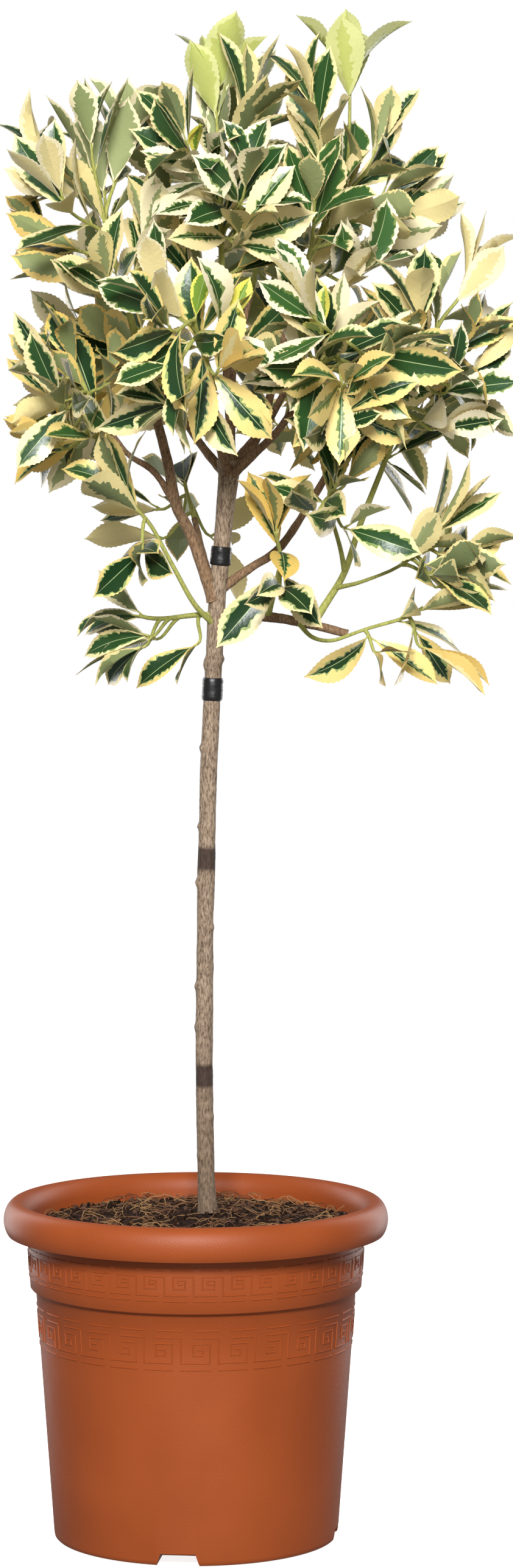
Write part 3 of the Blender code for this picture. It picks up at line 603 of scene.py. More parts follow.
# %% Limb routes
GAP = 0.0003
STEM_RADIUS = 0.0062
FLARE_RADIUS = 0.0078
HEAD_RADIUS = 0.0092
SWELLING_LENGTH = 0.014
Limb = namedtuple("Limb", "parent colour radii route")
LIMBS = {
    "trunk": Limb(None, "bark", (FLARE_RADIUS, HEAD_RADIUS), [
        (0.0084, 0.016, SOIL_TOP + GAP), (0.0074, 0.016, 0.258), (0.0062, 0.016, 0.330),
        (0.0066, 0.016, 0.430),
        (0.0085, 0.015, 0.530), (0.0118, 0.015, 0.610), (0.0158, 0.014, 0.685), (0.0208, 0.013, 0.742),
        (0.0240, 0.012, 0.772), (0.0245, 0.012, 0.784)]),
    "bough_left": Limb("trunk", "bark", (0.0046, 0.0030), [
        (0.0140, 0.014, 0.683), (-0.0025, 0.011, 0.728), (-0.0139, 0.006, 0.752), (-0.0205, 0.000, 0.785),
        (-0.0300, -0.004, 0.822), (-0.0400, -0.006, 0.862)]),
    "bough_left_side": Limb("bough_left", "bark", (0.0025, 0.0018), [
        (-0.0139, 0.006, 0.752), (-0.0300, -0.002, 0.776), (-0.0480, -0.004, 0.788),
        (-0.0620, -0.006, 0.806)]),
    "bough_lower_left": Limb("trunk", "green", (0.0020, 0.0015), [
        (0.0148, 0.014, 0.664), (-0.0005, -0.001, 0.680), (-0.0150, -0.010, 0.706),
        (-0.0260, -0.015, 0.727)]),
    "bough_lower_right": Limb("trunk", "bark", (0.0042, 0.0031), [
        (0.0150, 0.0140, 0.664), (0.0360, 0.006, 0.6715), (0.0580, 0.002, 0.6705), (0.0840, 0.000, 0.6655),
        (0.1100, -0.002, 0.6588)]),
    "bough_right": Limb("bough_lower_right", "green", (0.0026, 0.0019), [
        (0.0840, 0.000, 0.6655), (0.0945, 0.001, 0.681), (0.1080, 0.002, 0.704), (0.1190, 0.000, 0.738),
        (0.1330, -0.004, 0.774), (0.1430, -0.008, 0.800)]),
    "bough_outer_right": Limb("bough_right", "green", (0.0015, 0.0012), [
        (0.1010, 0.0015, 0.692), (0.1160, -0.012, 0.6955), (0.1300, -0.018, 0.7005)]),
    "bough_under_right": Limb("bough_lower_right", "green", (0.0016, 0.0012), [
        (0.0740, 0.001, 0.6675), (0.0840, -0.012, 0.657), (0.0980, -0.018, 0.6545), (0.1150, -0.021, 0.660)]),
    "bough_low_front": Limb("bough_lower_right", "green", (0.0020, 0.0016), [
        (0.0520, 0.003, 0.6710), (0.0560, -0.010, 0.686), (0.0600, -0.022, 0.704)]),
    "bough_mid_front": Limb("bough_right", "green", (0.0017, 0.0014), [
        (0.1080, 0.002, 0.704), (0.1040, -0.012, 0.722), (0.0980, -0.026, 0.742)]),
    "bough_mid_right": Limb("trunk", "bark", (0.0033, 0.0024), [
        (0.0165, 0.014, 0.690), (0.0395, 0.026, 0.706), (0.0620, 0.034, 0.722), (0.0860, 0.036, 0.758),
        (0.1080, 0.034, 0.796)]),
    "bough_low_back": Limb("trunk", "bark", (0.0030, 0.0020), [
        (0.0150, 0.014, 0.676), (0.0130, 0.036, 0.690), (0.0060, 0.064, 0.712), (-0.0020, 0.084, 0.742)]),
    "bough_top": Limb("trunk", "bark", (0.0040, 0.0026), [
        (0.0245, 0.012, 0.778), (0.0250, 0.014, 0.820), (0.0220, 0.012, 0.860), (0.0200, 0.006, 0.902)]),
    "bough_top_back": Limb("bough_top", "bark", (0.0026, 0.0020), [
        (0.0248, 0.0138, 0.835), (0.0310, 0.034, 0.868), (0.0400, 0.052, 0.906)]),
    "bough_front": Limb("trunk", "bark", (0.0036, 0.0024), [
        (0.0242, 0.012, 0.772), (0.0190, -0.010, 0.790), (0.0140, -0.032, 0.814), (0.0100, -0.050, 0.842)]),
    "bough_front_right": Limb("trunk", "bark", (0.0034, 0.0024), [
        (0.0242, 0.012, 0.772), (0.0420, -0.008, 0.788), (0.0620, -0.030, 0.808), (0.0780, -0.048, 0.834)]),
    "bough_upper_right": Limb("trunk", "bark", (0.0036, 0.0025), [
        (0.0242, 0.012, 0.774), (0.0440, 0.016, 0.800), (0.0590, 0.016, 0.850), (0.0700, 0.014, 0.896)]),
    "bough_back_right": Limb("trunk", "bark", (0.0034, 0.0024), [
        (0.0242, 0.012, 0.772), (0.0340, 0.036, 0.790), (0.0520, 0.060, 0.812), (0.0680, 0.078, 0.842)]),
    "bough_back_left": Limb("trunk", "bark", (0.0034, 0.0024), [
        (0.0242, 0.012, 0.772), (0.0080, 0.030, 0.790), (-0.0080, 0.052, 0.814), (-0.0200, 0.070, 0.846)]),
}


def limb_route(name, steps=2):
    return smooth_route(LIMBS[name].route, steps)


def stem_radii(route):
    """The stem's radius: flared at the soil, even above it, and swollen at the head."""
    low, high = route[0].z, route[-1].z
    radii = []
    for point in route:
        flare = (FLARE_RADIUS - STEM_RADIUS) * math.exp(-(point.z - low) / SWELLING_LENGTH)
        head = (HEAD_RADIUS - STEM_RADIUS) * math.exp(-(high - point.z) / SWELLING_LENGTH)
        radii.append(STEM_RADIUS + flare + head)
    return radii


# %% Bark finishes
STAIN_HEIGHTS = ((0.3355, 0.0085), (0.4945, 0.0085))
# The stem turns darker and browner towards its foot. The darkening fades out at the height below.
FOOT_OF_STEM = "#594430"
FOOT_DARKENING_TOP = 0.40


def bark_material(name, pale, dark, stain=None):
    """Fissured bark, with long streaks along the stem and dark specks."""
    made, tree, shader = new_material(name, pale, 0.82)
    place = add_node(tree, "ShaderNodeTexCoord")
    stretch = add_node(tree, "ShaderNodeMapping", {
        "Vector": place.outputs["Object"], "Scale": (800.0, 800.0, 230.0)})
    streaks = add_node(tree, "ShaderNodeTexNoise", {
        "Vector": stretch.outputs["Vector"], "Scale": 1.0, "Detail": 5.0, "Roughness": 0.65})
    ramp = two_tone(tree, shader, streaks.outputs["Fac"], dark, pale, 0.36, 0.62)
    bump = add_node(tree, "ShaderNodeBump", {
        "Height": streaks.outputs["Fac"], "Distance": 0.0009, "Strength": 0.8})
    tree.links.new(bump.outputs["Normal"], shader.inputs["Normal"])
    if stain:
        # The colour runs darker and browner from the soil upwards, and fades out by a set height.
        height = add_node(tree, "ShaderNodeSeparateXYZ", {"Vector": place.outputs["Object"]})
        foot_darkening = add_node(tree, "ShaderNodeMapRange", {
            "Value": height.outputs["Z"], "From Min": SOIL_TOP, "From Max": FOOT_DARKENING_TOP,
            "To Min": 0.55, "To Max": 0.0})
        mix = add_node(tree, "ShaderNodeMix", {
            0: foot_darkening.outputs["Result"], 6: ramp.outputs["Color"], 7: linear(FOOT_OF_STEM)}, data_type="RGBA")
        colour = mix.outputs[2]
        for middle, half in STAIN_HEIGHTS:
            away = add_node(tree, "ShaderNodeMath", {0: height.outputs["Z"], 1: middle}, operation="SUBTRACT")
            size = add_node(tree, "ShaderNodeMath", {0: away.outputs[0]}, operation="ABSOLUTE")
            fade = add_node(tree, "ShaderNodeMapRange", {
                "Value": size.outputs[0], "From Min": half * 0.8, "From Max": half * 1.15,
                "To Min": 0.88, "To Max": 0.0})
            mix = add_node(tree, "ShaderNodeMix", {0: fade.outputs["Result"], 6: colour, 7: linear(stain)},
                           data_type="RGBA")
            colour = mix.outputs[2]
        tree.links.new(colour, shader.inputs["Base Color"])
    return made


stem_bark = bark_material("spindle stem bark", "#AB957E", "#574434", stain="#2C1A13")
bough_bark = bark_material("spindle bough bark", "#98795A", "#5F4631")
young_bark = bark_material("young spindle bark", "#AEB05E", "#8C8D45")

# %% Bark relief
Scar = namedtuple("Scar", "height side size hollow")
SCAR_RISE = 0.68
SCARS = [
    Scar(0.6367, -0.62, 0.0042, 0.4), Scar(0.6400, 0.95, 0.0024, 0.0), Scar(0.5755, -0.75, 0.0026, 0.0),
    Scar(0.5180, -0.95, 0.0022, 0.0), Scar(0.4770, -0.85, 0.0026, 0.0), Scar(0.4440, 0.70, 0.0024, 0.0),
    Scar(0.4140, 0.30, 0.0030, 1.6), Scar(0.4010, -0.75, 0.0026, 0.0), Scar(0.3710, -0.70, 0.0026, 0.0),
    Scar(0.3050, 0.55, 0.0024, 0.0), Scar(0.2760, -0.45, 0.0028, 0.3),
]


def stem_relief(point, out):
    """Fissures, and scars whose side is the sine of their angle from the front."""
    fissures = noise.noise(Vector((out.x * 3.2, out.y * 3.2, point.z * 60))) * 0.00035
    rough = noise.noise(point * 900) * 0.00016
    knuckles = noise.noise(Vector((out.x * 0.7, out.y * 0.7, point.z * 26))) * 0.00055
    lift = fissures + rough + knuckles
    for scar in SCARS:
        if abs(point.z - scar.height) > scar.size * 2.5 or out.y > 0.35:
            continue
        across = (out.x - scar.side) * STEM_RADIUS
        away = math.hypot(across, point.z - scar.height) / scar.size
        rise = SCAR_RISE * scar.size
        lift += rise * math.exp(-away * away) - rise * scar.hollow * math.exp(-(away * 2.2) ** 2)
    return lift


def bough_relief(point, out):
    return noise.noise(point * 420) * 0.00022 + noise.noise(point * 95) * 0.00035


def twig_relief(point, out):
    return noise.noise(point * 300) * 0.00008


limb_finish = {"trunk": stem_bark, "bark": bough_bark, "green": young_bark}
for name, limb in LIMBS.items():
    basket = Basket()
    if name == "trunk":
        route = limb_route(name, 52)
        tube(basket, route, stem_radii(route), 28, 0, stem_relief)
    else:
        route = limb_route(name, 12)
        base_swell = [1 + 0.45 * math.exp(-mark / 0.010) for mark in lengths(route)]
        radii = [r * swell for r, swell in zip(taper(route, limb.radii), base_swell)]
        tube(basket, route, radii, 14, 0, bough_relief if limb.colour == "bark" else twig_relief)
    finish = limb_finish["trunk" if name == "trunk" else limb.colour]
    slot = "young_bark" if limb.colour == "green" else "bark"
    dress(basket.make(name + "_bark", [finish], angle=55), slot, name)
print(f"{len(LIMBS)} limbs with bark")

# %% [markdown]
# ## Tape
#
# Two bands of black stretch tape go round the stem. Stretch tape is soft PVC, wound three or four
# turns, so its edges step and its gloss is broken by small wrinkles.

# %% Tape bands
TIE_HEIGHTS = {"tie_lower": (0.6100, 0.6270), "tie_upper": (0.7080, 0.7226)}
TAPE_THICKNESS = 0.0012
black_tape, tree, shader = new_material("black stretch tape", "#151517", 0.38)
grain(tree, shader, 1.6, 0.0003, strength=0.5)


def tape_relief(point, out):
    turn = math.atan2(out.y, out.x) / math.tau
    step = ((point.z * 330 + turn) % 1.0) * 0.00028
    return step + noise.noise(point * 260) * 0.00030


for name, (low, high) in TIE_HEIGHTS.items():
    whole = limb_route("trunk", 52)
    band = [p for p in whole if low <= p.z <= high]
    ends = [0.4 if i in (0, len(band) - 1) else 1.0 for i in range(len(band))]
    basket = Basket()
    tube(basket, band, [STEM_RADIUS + TAPE_THICKNESS * share for share in ends], 40, 0, tape_relief)
    dress(basket.make(name + "_tape", [black_tape], angle=45), "tape", name)

# %% [markdown]
# ## How the crown grows
#
# Each mass of foliage grows on from one limb by a rule with a fixed seed. A stem runs from the
# limb's tip to the middle of the mass. Shoots leave it for the furthest leaf tips, then for points
# spread evenly round the mass. The frame's rule is repeated here with leaves a little longer and
# turned to the light, and carried on: a second set of shoots fills the outer shell, and a third,
# shorter set fills the inside.

# %% The masses
LEAF_LENGTH = 0.068
LEAF_WIDTH = 0.36
LEAF_WIDEST = 0.54
LEAF_FOLD = 0.010
KEEL_DEPTH = 0.020
KEEL_PLACE = 0.24
SINK = 0.0006
STAGGER = 0.0014
STEM_TWIG_RADII = (0.0021, 0.0015)
TWIG_RADII = (0.0016, 0.0010)
SHORTEST_SHOOT = 0.020
STRAIGHT_START = 0.004
UPRIGHT_LOW = 0.30
UPRIGHT_HIGH = 1.15
TO_LIGHT_LOW = 0.62
TO_LIGHT_HIGH = 0.05
NODE_SPACING = (0.0, 0.003, 0.014, 0.018, 0.022, 0.024)
DIVERGENCE = (8, 28, 44, 58, 68, 74)
WIDE_LOW = 0.86
WIDE_HIGH = 0.42
LEAF_SIZE = (0.78, 0.88, 1.0, 1.0, 0.95, 0.90)
BARE_SHARE = 0.18
CELL_OVERLAP = 0.018
STEM_EXEMPTION = 0.009
CROWN_LOW = (-0.137, -0.172, 0.622)
CROWN_HIGH = (0.230, 0.198, 1.114)
CROWN_AXIS = (0.045, 0.015)
Mass = namedtuple("Mass", "limb centre radii fill reach")
MASSES = {
    "foliage_top": Mass("bough_top", (0.018, -0.020, 1.000), (0.070, 0.080, 0.085), 7, [
        (0.0137, -0.010, 1.100), (0.0420, -0.030, 1.085), (-0.0150, -0.060, 1.060)]),
    "foliage_top_left": Mass("bough_left", (-0.070, -0.030, 0.980), (0.065, 0.085, 0.080), 6, [
        (-0.0756, -0.040, 1.060), (-0.1206, -0.010, 1.043), (-0.1290, 0.010, 1.000), (-0.0457, 0.000, 1.064),
        (-0.1340, -0.030, 0.944)]),
    "foliage_top_right": Mass("bough_upper_right", (0.112, 0.000, 0.990), (0.070, 0.085, 0.085), 7, [
        (0.1120, 0.000, 1.112), (0.1530, -0.020, 1.024), (0.1750, 0.020, 0.996), (0.0780, -0.050, 1.087)]),
    "foliage_top_back": Mass("bough_top_back", (0.040, 0.090, 0.985), (0.085, 0.075, 0.085), 5, [
        (0.0300, 0.080, 1.088), (0.0900, 0.110, 1.070), (-0.0300, 0.100, 1.065)]),
    "foliage_left": Mass("bough_left_side", (-0.088, -0.010, 0.858), (0.055, 0.090, 0.060), 7, [
        (-0.1180, -0.030, 0.895), (-0.1290, 0.010, 0.874), (-0.1350, -0.020, 0.832), (-0.1150, -0.040, 0.801),
        (-0.1100, 0.060, 0.850)]),
    "foliage_front": Mass("bough_front", (0.000, -0.105, 0.885), (0.070, 0.065, 0.075), 7, [
        (-0.0300, -0.155, 0.920), (0.0300, -0.160, 0.880), (-0.0450, -0.130, 0.850)]),
    "foliage_front_right": Mass("bough_front_right", (0.108, -0.095, 0.870), (0.070, 0.065, 0.080), 7, [
        (0.1100, -0.160, 0.870), (0.1500, -0.130, 0.900), (0.0700, -0.150, 0.940)]),
    "foliage_right": Mass("bough_right", (0.178, -0.015, 0.890), (0.055, 0.085, 0.075), 7, [
        (0.2040, -0.010, 0.965), (0.2270, -0.020, 0.891), (0.2170, 0.020, 0.919), (0.1995, -0.050, 0.850),
        (0.2040, -0.010, 0.810)]),
    "foliage_right_inner": Mass("bough_mid_right", (0.140, 0.070, 0.860), (0.065, 0.060, 0.065), 4, [
        (0.1860, 0.080, 0.850), (0.1750, 0.110, 0.890)]),
    "foliage_back_right": Mass("bough_back_right", (0.085, 0.140, 0.880), (0.075, 0.060, 0.075), 6, [
        (0.1000, 0.190, 0.900), (0.1400, 0.160, 0.930)]),
    "foliage_back_left": Mass("bough_back_left", (-0.045, 0.110, 0.885), (0.075, 0.070, 0.080), 5, [
        (-0.0500, 0.180, 0.890), (-0.1100, 0.120, 0.920), (-0.0900, 0.140, 0.970), (0.0100, 0.190, 0.900)]),
    "foliage_low_back": Mass("bough_low_back", (-0.010, 0.120, 0.770), (0.070, 0.055, 0.045), 5, [
        (-0.0700, 0.110, 0.760), (0.0400, 0.160, 0.755), (-0.0200, 0.175, 0.780)]),
    "foliage_lower_left": Mass("bough_lower_left", (-0.052, -0.030, 0.765), (0.050, 0.050, 0.030), 5, [
        (-0.0900, -0.020, 0.770), (-0.0710, -0.050, 0.728), (-0.0400, -0.090, 0.745)]),
    "foliage_low_left": Mass(("trunk", 0.6725), (-0.045, -0.006, 0.672), (0.050, 0.040, 0.022), 3, [
        (-0.0910, -0.006, 0.664), (-0.0700, -0.030, 0.690), (-0.0420, -0.010, 0.626),
        (-0.0760, 0.022, 0.682)]),
    "foliage_low_front": Mass("bough_low_front", (0.058, -0.050, 0.735), (0.045, 0.050, 0.032), 5, [
        (0.0250, -0.060, 0.730), (0.0900, -0.080, 0.740), (0.0600, -0.100, 0.720)]),
    "foliage_mid_front": Mass("bough_mid_front", (0.100, -0.050, 0.790), (0.045, 0.045, 0.040), 7, [
        (0.1300, -0.090, 0.770), (0.0700, -0.090, 0.790), (0.1450, -0.050, 0.745)]),
    "foliage_outer_right": Mass("bough_outer_right", (0.180, -0.026, 0.738), (0.045, 0.045, 0.032), 4, [
        (0.2216, -0.026, 0.755), (0.2250, -0.020, 0.714), (0.1950, -0.070, 0.730), (0.2000, 0.020, 0.745)]),
    "foliage_low_right": Mass("bough_under_right", (0.168, -0.028, 0.680), (0.045, 0.040, 0.022), 4, [
        (0.2175, -0.028, 0.654), (0.2100, -0.030, 0.692), (0.1600, -0.070, 0.672), (0.1600, 0.010, 0.665)]),
}
# The thin low masses have fewer shoots, with this many pairs of leaves on each.
SPARSE = {
    "foliage_low_left": 2, "foliage_low_right": 3, "foliage_outer_right": 4, "foliage_low_front": 4,
    "foliage_lower_left": 3, "foliage_low_back": 2,
}
LIME_PAIRS = 3
LIME_BREADTH = 1.28
Twig = namedtuple("Twig", "route radii")
Leaf = namedtuple("Leaf", "root along normal length")


# %% What is in the way
# A leaf is tried as a thin double cone against everything that is placed so far. The boxes are
# kept in arrays, so that only near neighbours get the exact test.
MOST_PLACED = 6000


class Space:
    def __init__(self):
        self.low = np.zeros((MOST_PLACED, 3))
        self.high = np.zeros((MOST_PLACED, 3))
        self.trees = []

    def add(self, points, faces):
        number = len(self.trees)
        corners = np.array([tuple(p) for p in points])
        self.low[number] = corners.min(axis=0)
        self.high[number] = corners.max(axis=0)
        self.trees.append(BVHTree.FromPolygons(points, faces))
        return number

    def hit(self, points, faces, spared=()):
        corners = np.array([tuple(p) for p in points])
        count = len(self.trees)
        starts_before = self.low[:count] <= corners.max(axis=0)
        ends_after = self.high[:count] >= corners.min(axis=0)
        near = np.all(starts_before & ends_after, axis=1)
        tree = None
        for number in np.nonzero(near)[0]:
            if number in spared:
                continue
            tree = tree or BVHTree.FromPolygons(points, faces)
            if tree.overlap(self.trees[number]):
                return True
        return False


# %% The rule for stems and shoots
def in_space(point, name, overlap=CELL_OVERLAP):
    """True if the point is in the crown, and roughly nearer to this mass's middle than to any other's."""
    if any(not CROWN_LOW[i] < point[i] < CROWN_HIGH[i] for i in range(3)):
        return False
    own = Vector(MASSES[name].centre)
    for other, mass in MASSES.items():
        if other == name:
            continue
        away = Vector(mass.centre) - own
        reach = away.length
        if (point - own).dot(away / reach) > reach / 2 + overlap:
            return False
    return True


def stem_start(mass):
    """Where a mass's stem starts: on its limb's tip, or in the stem's side."""
    if isinstance(mass.limb, tuple):
        name, height = mass.limb
        middle = min(limb_route(name), key=lambda p: abs(p.z - height)).copy()
        middle.z = height
        direction = Vector((mass.centre[0] - middle.x, mass.centre[1] - middle.y, 0)).normalized()
        return middle + direction * (STEM_RADIUS - GAP), direction
    route = limb_route(mass.limb)
    direction = (route[-1] - route[-2]).normalized()
    return route[-1] - direction * GAP, direction


def mass_stem(name):
    """The one stem of a mass, from its limb's tip to near the middle of its space."""
    mass = MASSES[name]
    start, direction = stem_start(mass)
    centre = Vector(mass.centre)
    end = start.lerp(centre, 0.92)
    end_direction = ((centre - start).normalized() + UP * 0.3).normalized()
    straight = start + direction * STRAIGHT_START
    first = LIMBS[mass.limb].radii[1] if mass.limb in LIMBS else STEM_TWIG_RADII[0]
    return Twig([start] + bend(straight, direction, end, end_direction, steps=8), (first, STEM_TWIG_RADII[1]))


def fill_targets(name, count, scale, seed):
    """Points spread evenly round a mass's space, away from where its stem comes in."""
    mass = MASSES[name]
    centre = Vector(mass.centre)
    inward = (stem_start(mass)[0] - centre).normalized()
    turn = random.Random(seed).uniform(0, math.tau)
    targets = []
    for i in range(count):
        height = 1 - 1.8 * (i + 0.5) / count
        angle = turn + i * math.pi * (3 - math.sqrt(5))
        ring = math.sqrt(1 - height * height)
        direction = Vector((ring * math.cos(angle), ring * math.sin(angle), height))
        if direction.dot(inward) > 0.55:
            continue
        point = centre + Vector(direction[k] * mass.radii[k] * scale for k in range(3))
        for _ in range(8):
            if in_space(point, name, 0.0):
                break
            point = centre.lerp(point, 0.9)
        targets.append(point)
    return targets


def by_height(point, low, high):
    """A value that runs from low to high, from the crown's foot to its top."""
    return low + (high - low) * (point.z - CROWN_LOW[2]) / (CROWN_HIGH[2] - CROWN_LOW[2])


def shoot_to(target, stem, share):
    """A shoot that leaves the stem near a share of its length, and ends a leaf short of its target."""
    total = lengths(stem.route)[-1]
    size = LEAF_LENGTH * LEAF_SIZE[0]
    for change in (0, -0.14, -0.28, 0.12, -0.42, -0.56):
        start, direction = along(stem.route, total * min(max(share + change, 0.08), 0.97))
        outward = (target - start).normalized()
        heading = (outward + UP * by_height(target, UPRIGHT_LOW, UPRIGHT_HIGH)).normalized()
        end = target - heading * size
        step = end - start
        if step.length > SHORTEST_SHOOT and step.normalized().dot(heading) > 0.25:
            leave = (step.normalized() + direction * 0.4).normalized()
            return Twig(bend(start, leave, end, heading, steps=7), TWIG_RADII)
    return None


def shoots(stem, targets):
    """The shoots to a set of targets, the nearest leaving the stem first."""
    start = stem.route[0]
    axis = (stem.route[-1] - start).normalized()
    order = sorted(range(len(targets)), key=lambda i: (targets[i] - start).dot(axis))
    made = []
    for i, target in enumerate(targets):
        rank = order.index(i) / max(len(targets) - 1, 1)
        shoot = shoot_to(target, stem, 0.15 + 0.82 * rank)
        if shoot:
            made.append(shoot)
    return made


# %% [markdown]
# ## The leaf
#
# A spindle leaf is leathery and about 65 mm long, widest just past the middle, folded along its
# midrib and often curved back. Its edge has fine round teeth. The dark green middle ends in a
# ragged, feathered line, and cream shows outside it, so the green's edge is a real edge of the
# mesh that wanders row by row, with a half-tone strip beside it. The paler underside is a second
# sheet, joined at the margin.

# %% Leaf finishes
# Plain base colours, one for each part of the leaf, dealt out by spray. Gloss and fine veins come
# from the shader: the waxy skin has an IOR near 1.45, and veins 2 mm apart show as a faint bump.
LEAF_COLOURS = {
    "margin": ("#F0E6C4", "#ECDBA4", "#E6CD82", "#DEBD66"),
    "half_tone": ("#93A366", "#7B8E50", "#6A8040"),
    "middle": ("#1D3A1D", "#274822", "#365A2A"),
    "under_margin": ("#EFE3BA", "#E7D798", "#DEC070"),
    # The third underside green is darker, painted shade, dealt at random to some undersides.
    "under_middle": ("#86915E", "#969F6C", "#727D52", "#E1D196"),
    "rib": ("#9FB07C",),
    "lime": ("#B9C06C", "#CFD28E"),
    "young": ("#6E8C2E", "#D5CE5E"),
    "stalk": ("#BABA6C",),
}
leaf_materials = []
leaf_slot = {}
for part, codes in LEAF_COLOURS.items():
    for i, code in enumerate(codes):
        rough = 0.62 if part.startswith("under") else 0.34
        title = f"spindle leaf {part.replace('_', ' ')} {i + 1}"
        finish, tree, shader = new_material(title, code, rough, IOR=1.45)
        grain(tree, shader, 2.4, 0.0006, strength=0.35, detail=2.0)
        leaf_slot[part, i] = len(leaf_materials)
        leaf_materials.append(finish)
print(f"{len(leaf_materials)} leaf colours")

# %% Leaf shape
ROWS = 30
BASE_FULLNESS = 0.80
TIP_FULLNESS = 1.40
STALK_LENGTH = 0.006
STALK_RADII = [0.00095, 0.0007, 0.0006]
LEAF_THICKNESS = 0.0005
TOOTH_DEPTH = 0.035
RIB_SHARE = 0.026
GREEN_SWING = 0.12
GREEN_LEAST = 0.12
GREEN_MOST = 0.78
FEATHER = 0.10
WAVES = 6
FRINGES = (0.03, 0.05, 0.10, 0.16, 0.22)
STROKES = (-0.8, -0.3, 0.0, 0.2, 0.9)
place_along = np.linspace(0, 1, ROWS + 1)
fullness = BASE_FULLNESS + (TIP_FULLNESS - BASE_FULLNESS) * place_along
half_widths = np.maximum(np.sin(np.pi * place_along), 0.0) ** fullness
teeth = 1 + TOOTH_DEPTH * np.where(np.arange(ROWS + 1) % 2 == 0, 1, -1)
teeth[:2] = 1
teeth[-2:] = 1
TOP_COLUMNS = 8
UNDER_COLUMNS = 3
leaf_faces = []
for row in range(ROWS):
    for column in range(TOP_COLUMNS - 1):
        a = row * TOP_COLUMNS + column
        leaf_faces.append((a, a + 1, a + 1 + TOP_COLUMNS, a + TOP_COLUMNS))
under_start = TOP_COLUMNS * (ROWS + 1)
for row in range(ROWS):
    here, after = row * TOP_COLUMNS, (row + 1) * TOP_COLUMNS
    low, high = under_start + row * UNDER_COLUMNS, under_start + (row + 1) * UNDER_COLUMNS
    leaf_faces.append((here, after, high, low))
    leaf_faces.append((low, high, high + 1, low + 1))
    leaf_faces.append((low + 1, high + 1, high + 2, low + 2))
    leaf_faces.append((low + 2, high + 2, after + TOP_COLUMNS - 1, here + TOP_COLUMNS - 1))
last_under = under_start + ROWS * UNDER_COLUMNS
first_under = tuple(range(under_start, under_start + UNDER_COLUMNS))
leaf_faces.append(tuple(reversed(range(TOP_COLUMNS))) + first_under)
last_top = ROWS * TOP_COLUMNS
last_row = tuple(range(last_top, last_top + TOP_COLUMNS))
leaf_faces.append(last_row + (last_under + 2, last_under + 1, last_under))


def ragged(rng, middle, swing):
    """The edge of the green along one half of a leaf: slow waves with short strokes on them."""
    knots = [rng.uniform(-swing, swing) for _ in range(WAVES)]
    waves = np.interp(place_along, np.linspace(0, 1, WAVES), knots)
    strokes = np.array([rng.choice(STROKES) for _ in place_along]) * swing
    ends = np.clip((0.98 - place_along) / 0.20, 0.0, 1.0) * np.clip((place_along - 0.02) / 0.10, 0.0, 1.0)
    return np.clip((middle + waves + strokes) * ends, 0.06, 0.90)


def leaf_surface(leaf, rng, green_share, breadth=1.0):
    """The points of one leaf: eight columns on the upper side and three more underneath."""
    length = leaf.length - STALK_LENGTH
    width = leaf.length * LEAF_WIDTH * breadth * rng.uniform(0.94, 1.12) / 2
    curve = rng.uniform(-0.15, 1.0) * rng.choice((1.0, 1.0, 0.5))
    curve = curve if abs(curve) > 0.02 else 0.02
    fold = math.radians(rng.uniform(6, 30))
    twist = math.radians(rng.uniform(-26, 26))
    wave = rng.uniform(0.02, 0.10)
    phase = rng.uniform(0, math.tau)
    side = leaf.along.cross(leaf.normal).normalized()
    a, n, s = (np.array(v) for v in (leaf.along, leaf.normal, side))
    base = np.array(leaf.root) + a * STALK_LENGTH
    reach = np.maximum(width * half_widths, 0.0005)
    columns = np.zeros((ROWS + 1, TOP_COLUMNS))
    for sign, order in ((-1, (0, 1, 2, 3)), (1, (7, 6, 5, 4))):
        inner = ragged(rng, green_share, GREEN_SWING)
        fringe = np.array([rng.choice(FRINGES) for _ in place_along])
        outer = np.minimum(inner + fringe, 0.95)
        columns[:, order[0]] = sign * teeth
        columns[:, order[1]] = sign * outer
        columns[:, order[2]] = sign * inner
        columns[:, order[3]] = sign * RIB_SHARE

    def surface(shares, lift):
        """Points at shares of the half-width. Rows lean forwards to the edge, as the side veins do."""
        lean_on = 4 * place_along[:, None] * (1 - place_along[:, None])
        place = place_along[:, None] + FEATHER * np.abs(shares) * lean_on
        turn = (curve * place)[..., None]
        middle = base + np.sin(turn) / curve * length * a - (1 - np.cos(turn)) / curve * length * n
        lean = np.cos(turn) * n + np.sin(turn) * a
        roll = (twist * place)[..., None]
        sideways = np.cos(roll) * s + np.sin(roll) * lean
        upward = np.cos(roll) * lean - np.sin(roll) * s
        across = shares * reach[:, None]
        swing = np.sin(9 * place_along[:, None] + phase + shares)
        ripple = wave * reach[:, None] * np.abs(shares) ** 2 * swing
        rise = np.abs(across) * math.sin(fold) + ripple + lift
        flat = across * math.cos(fold)
        return middle + flat[..., None] * sideways + rise[..., None] * upward

    lift = np.full(TOP_COLUMNS, LEAF_THICKNESS / 2)
    lift[0] = lift[-1] = 0.0
    upper = surface(columns, lift[None, :]).reshape(-1, 3)
    below = columns[:, [1, 1, 6]]
    below[:, 1] = 0.0
    under = surface(below, np.full((1, UNDER_COLUMNS), -LEAF_THICKNESS / 2)).reshape(-1, 3)
    return np.vstack((upper, under))


def leaf_slots(look):
    """The material of each face, in the order of the leaf's faces."""
    margin, half_tone, middle, under_margin, under_middle = look
    row = [margin, half_tone, middle, leaf_slot["rib", 0], middle, half_tone, margin]
    under_row = [under_margin, under_middle, under_middle, under_margin]
    return row * ROWS + under_row * ROWS + [under_margin, margin]


def stalk(basket, leaf):
    end = leaf.root + leaf.along * (STALK_LENGTH + 0.0015)
    route = [leaf.root, leaf.root.lerp(end, 0.5), end]
    tube(basket, route, STALK_RADII, 5, leaf_slot["stalk", 0])


# %% [markdown]
# ## Placing the leaves
#
# Leaves stand in opposite pairs, each pair turned a quarter from the last, close together at the
# tip and further apart below. A leaf that would cut through another is turned, opened or made
# smaller until it fits, and is left out if it never does.

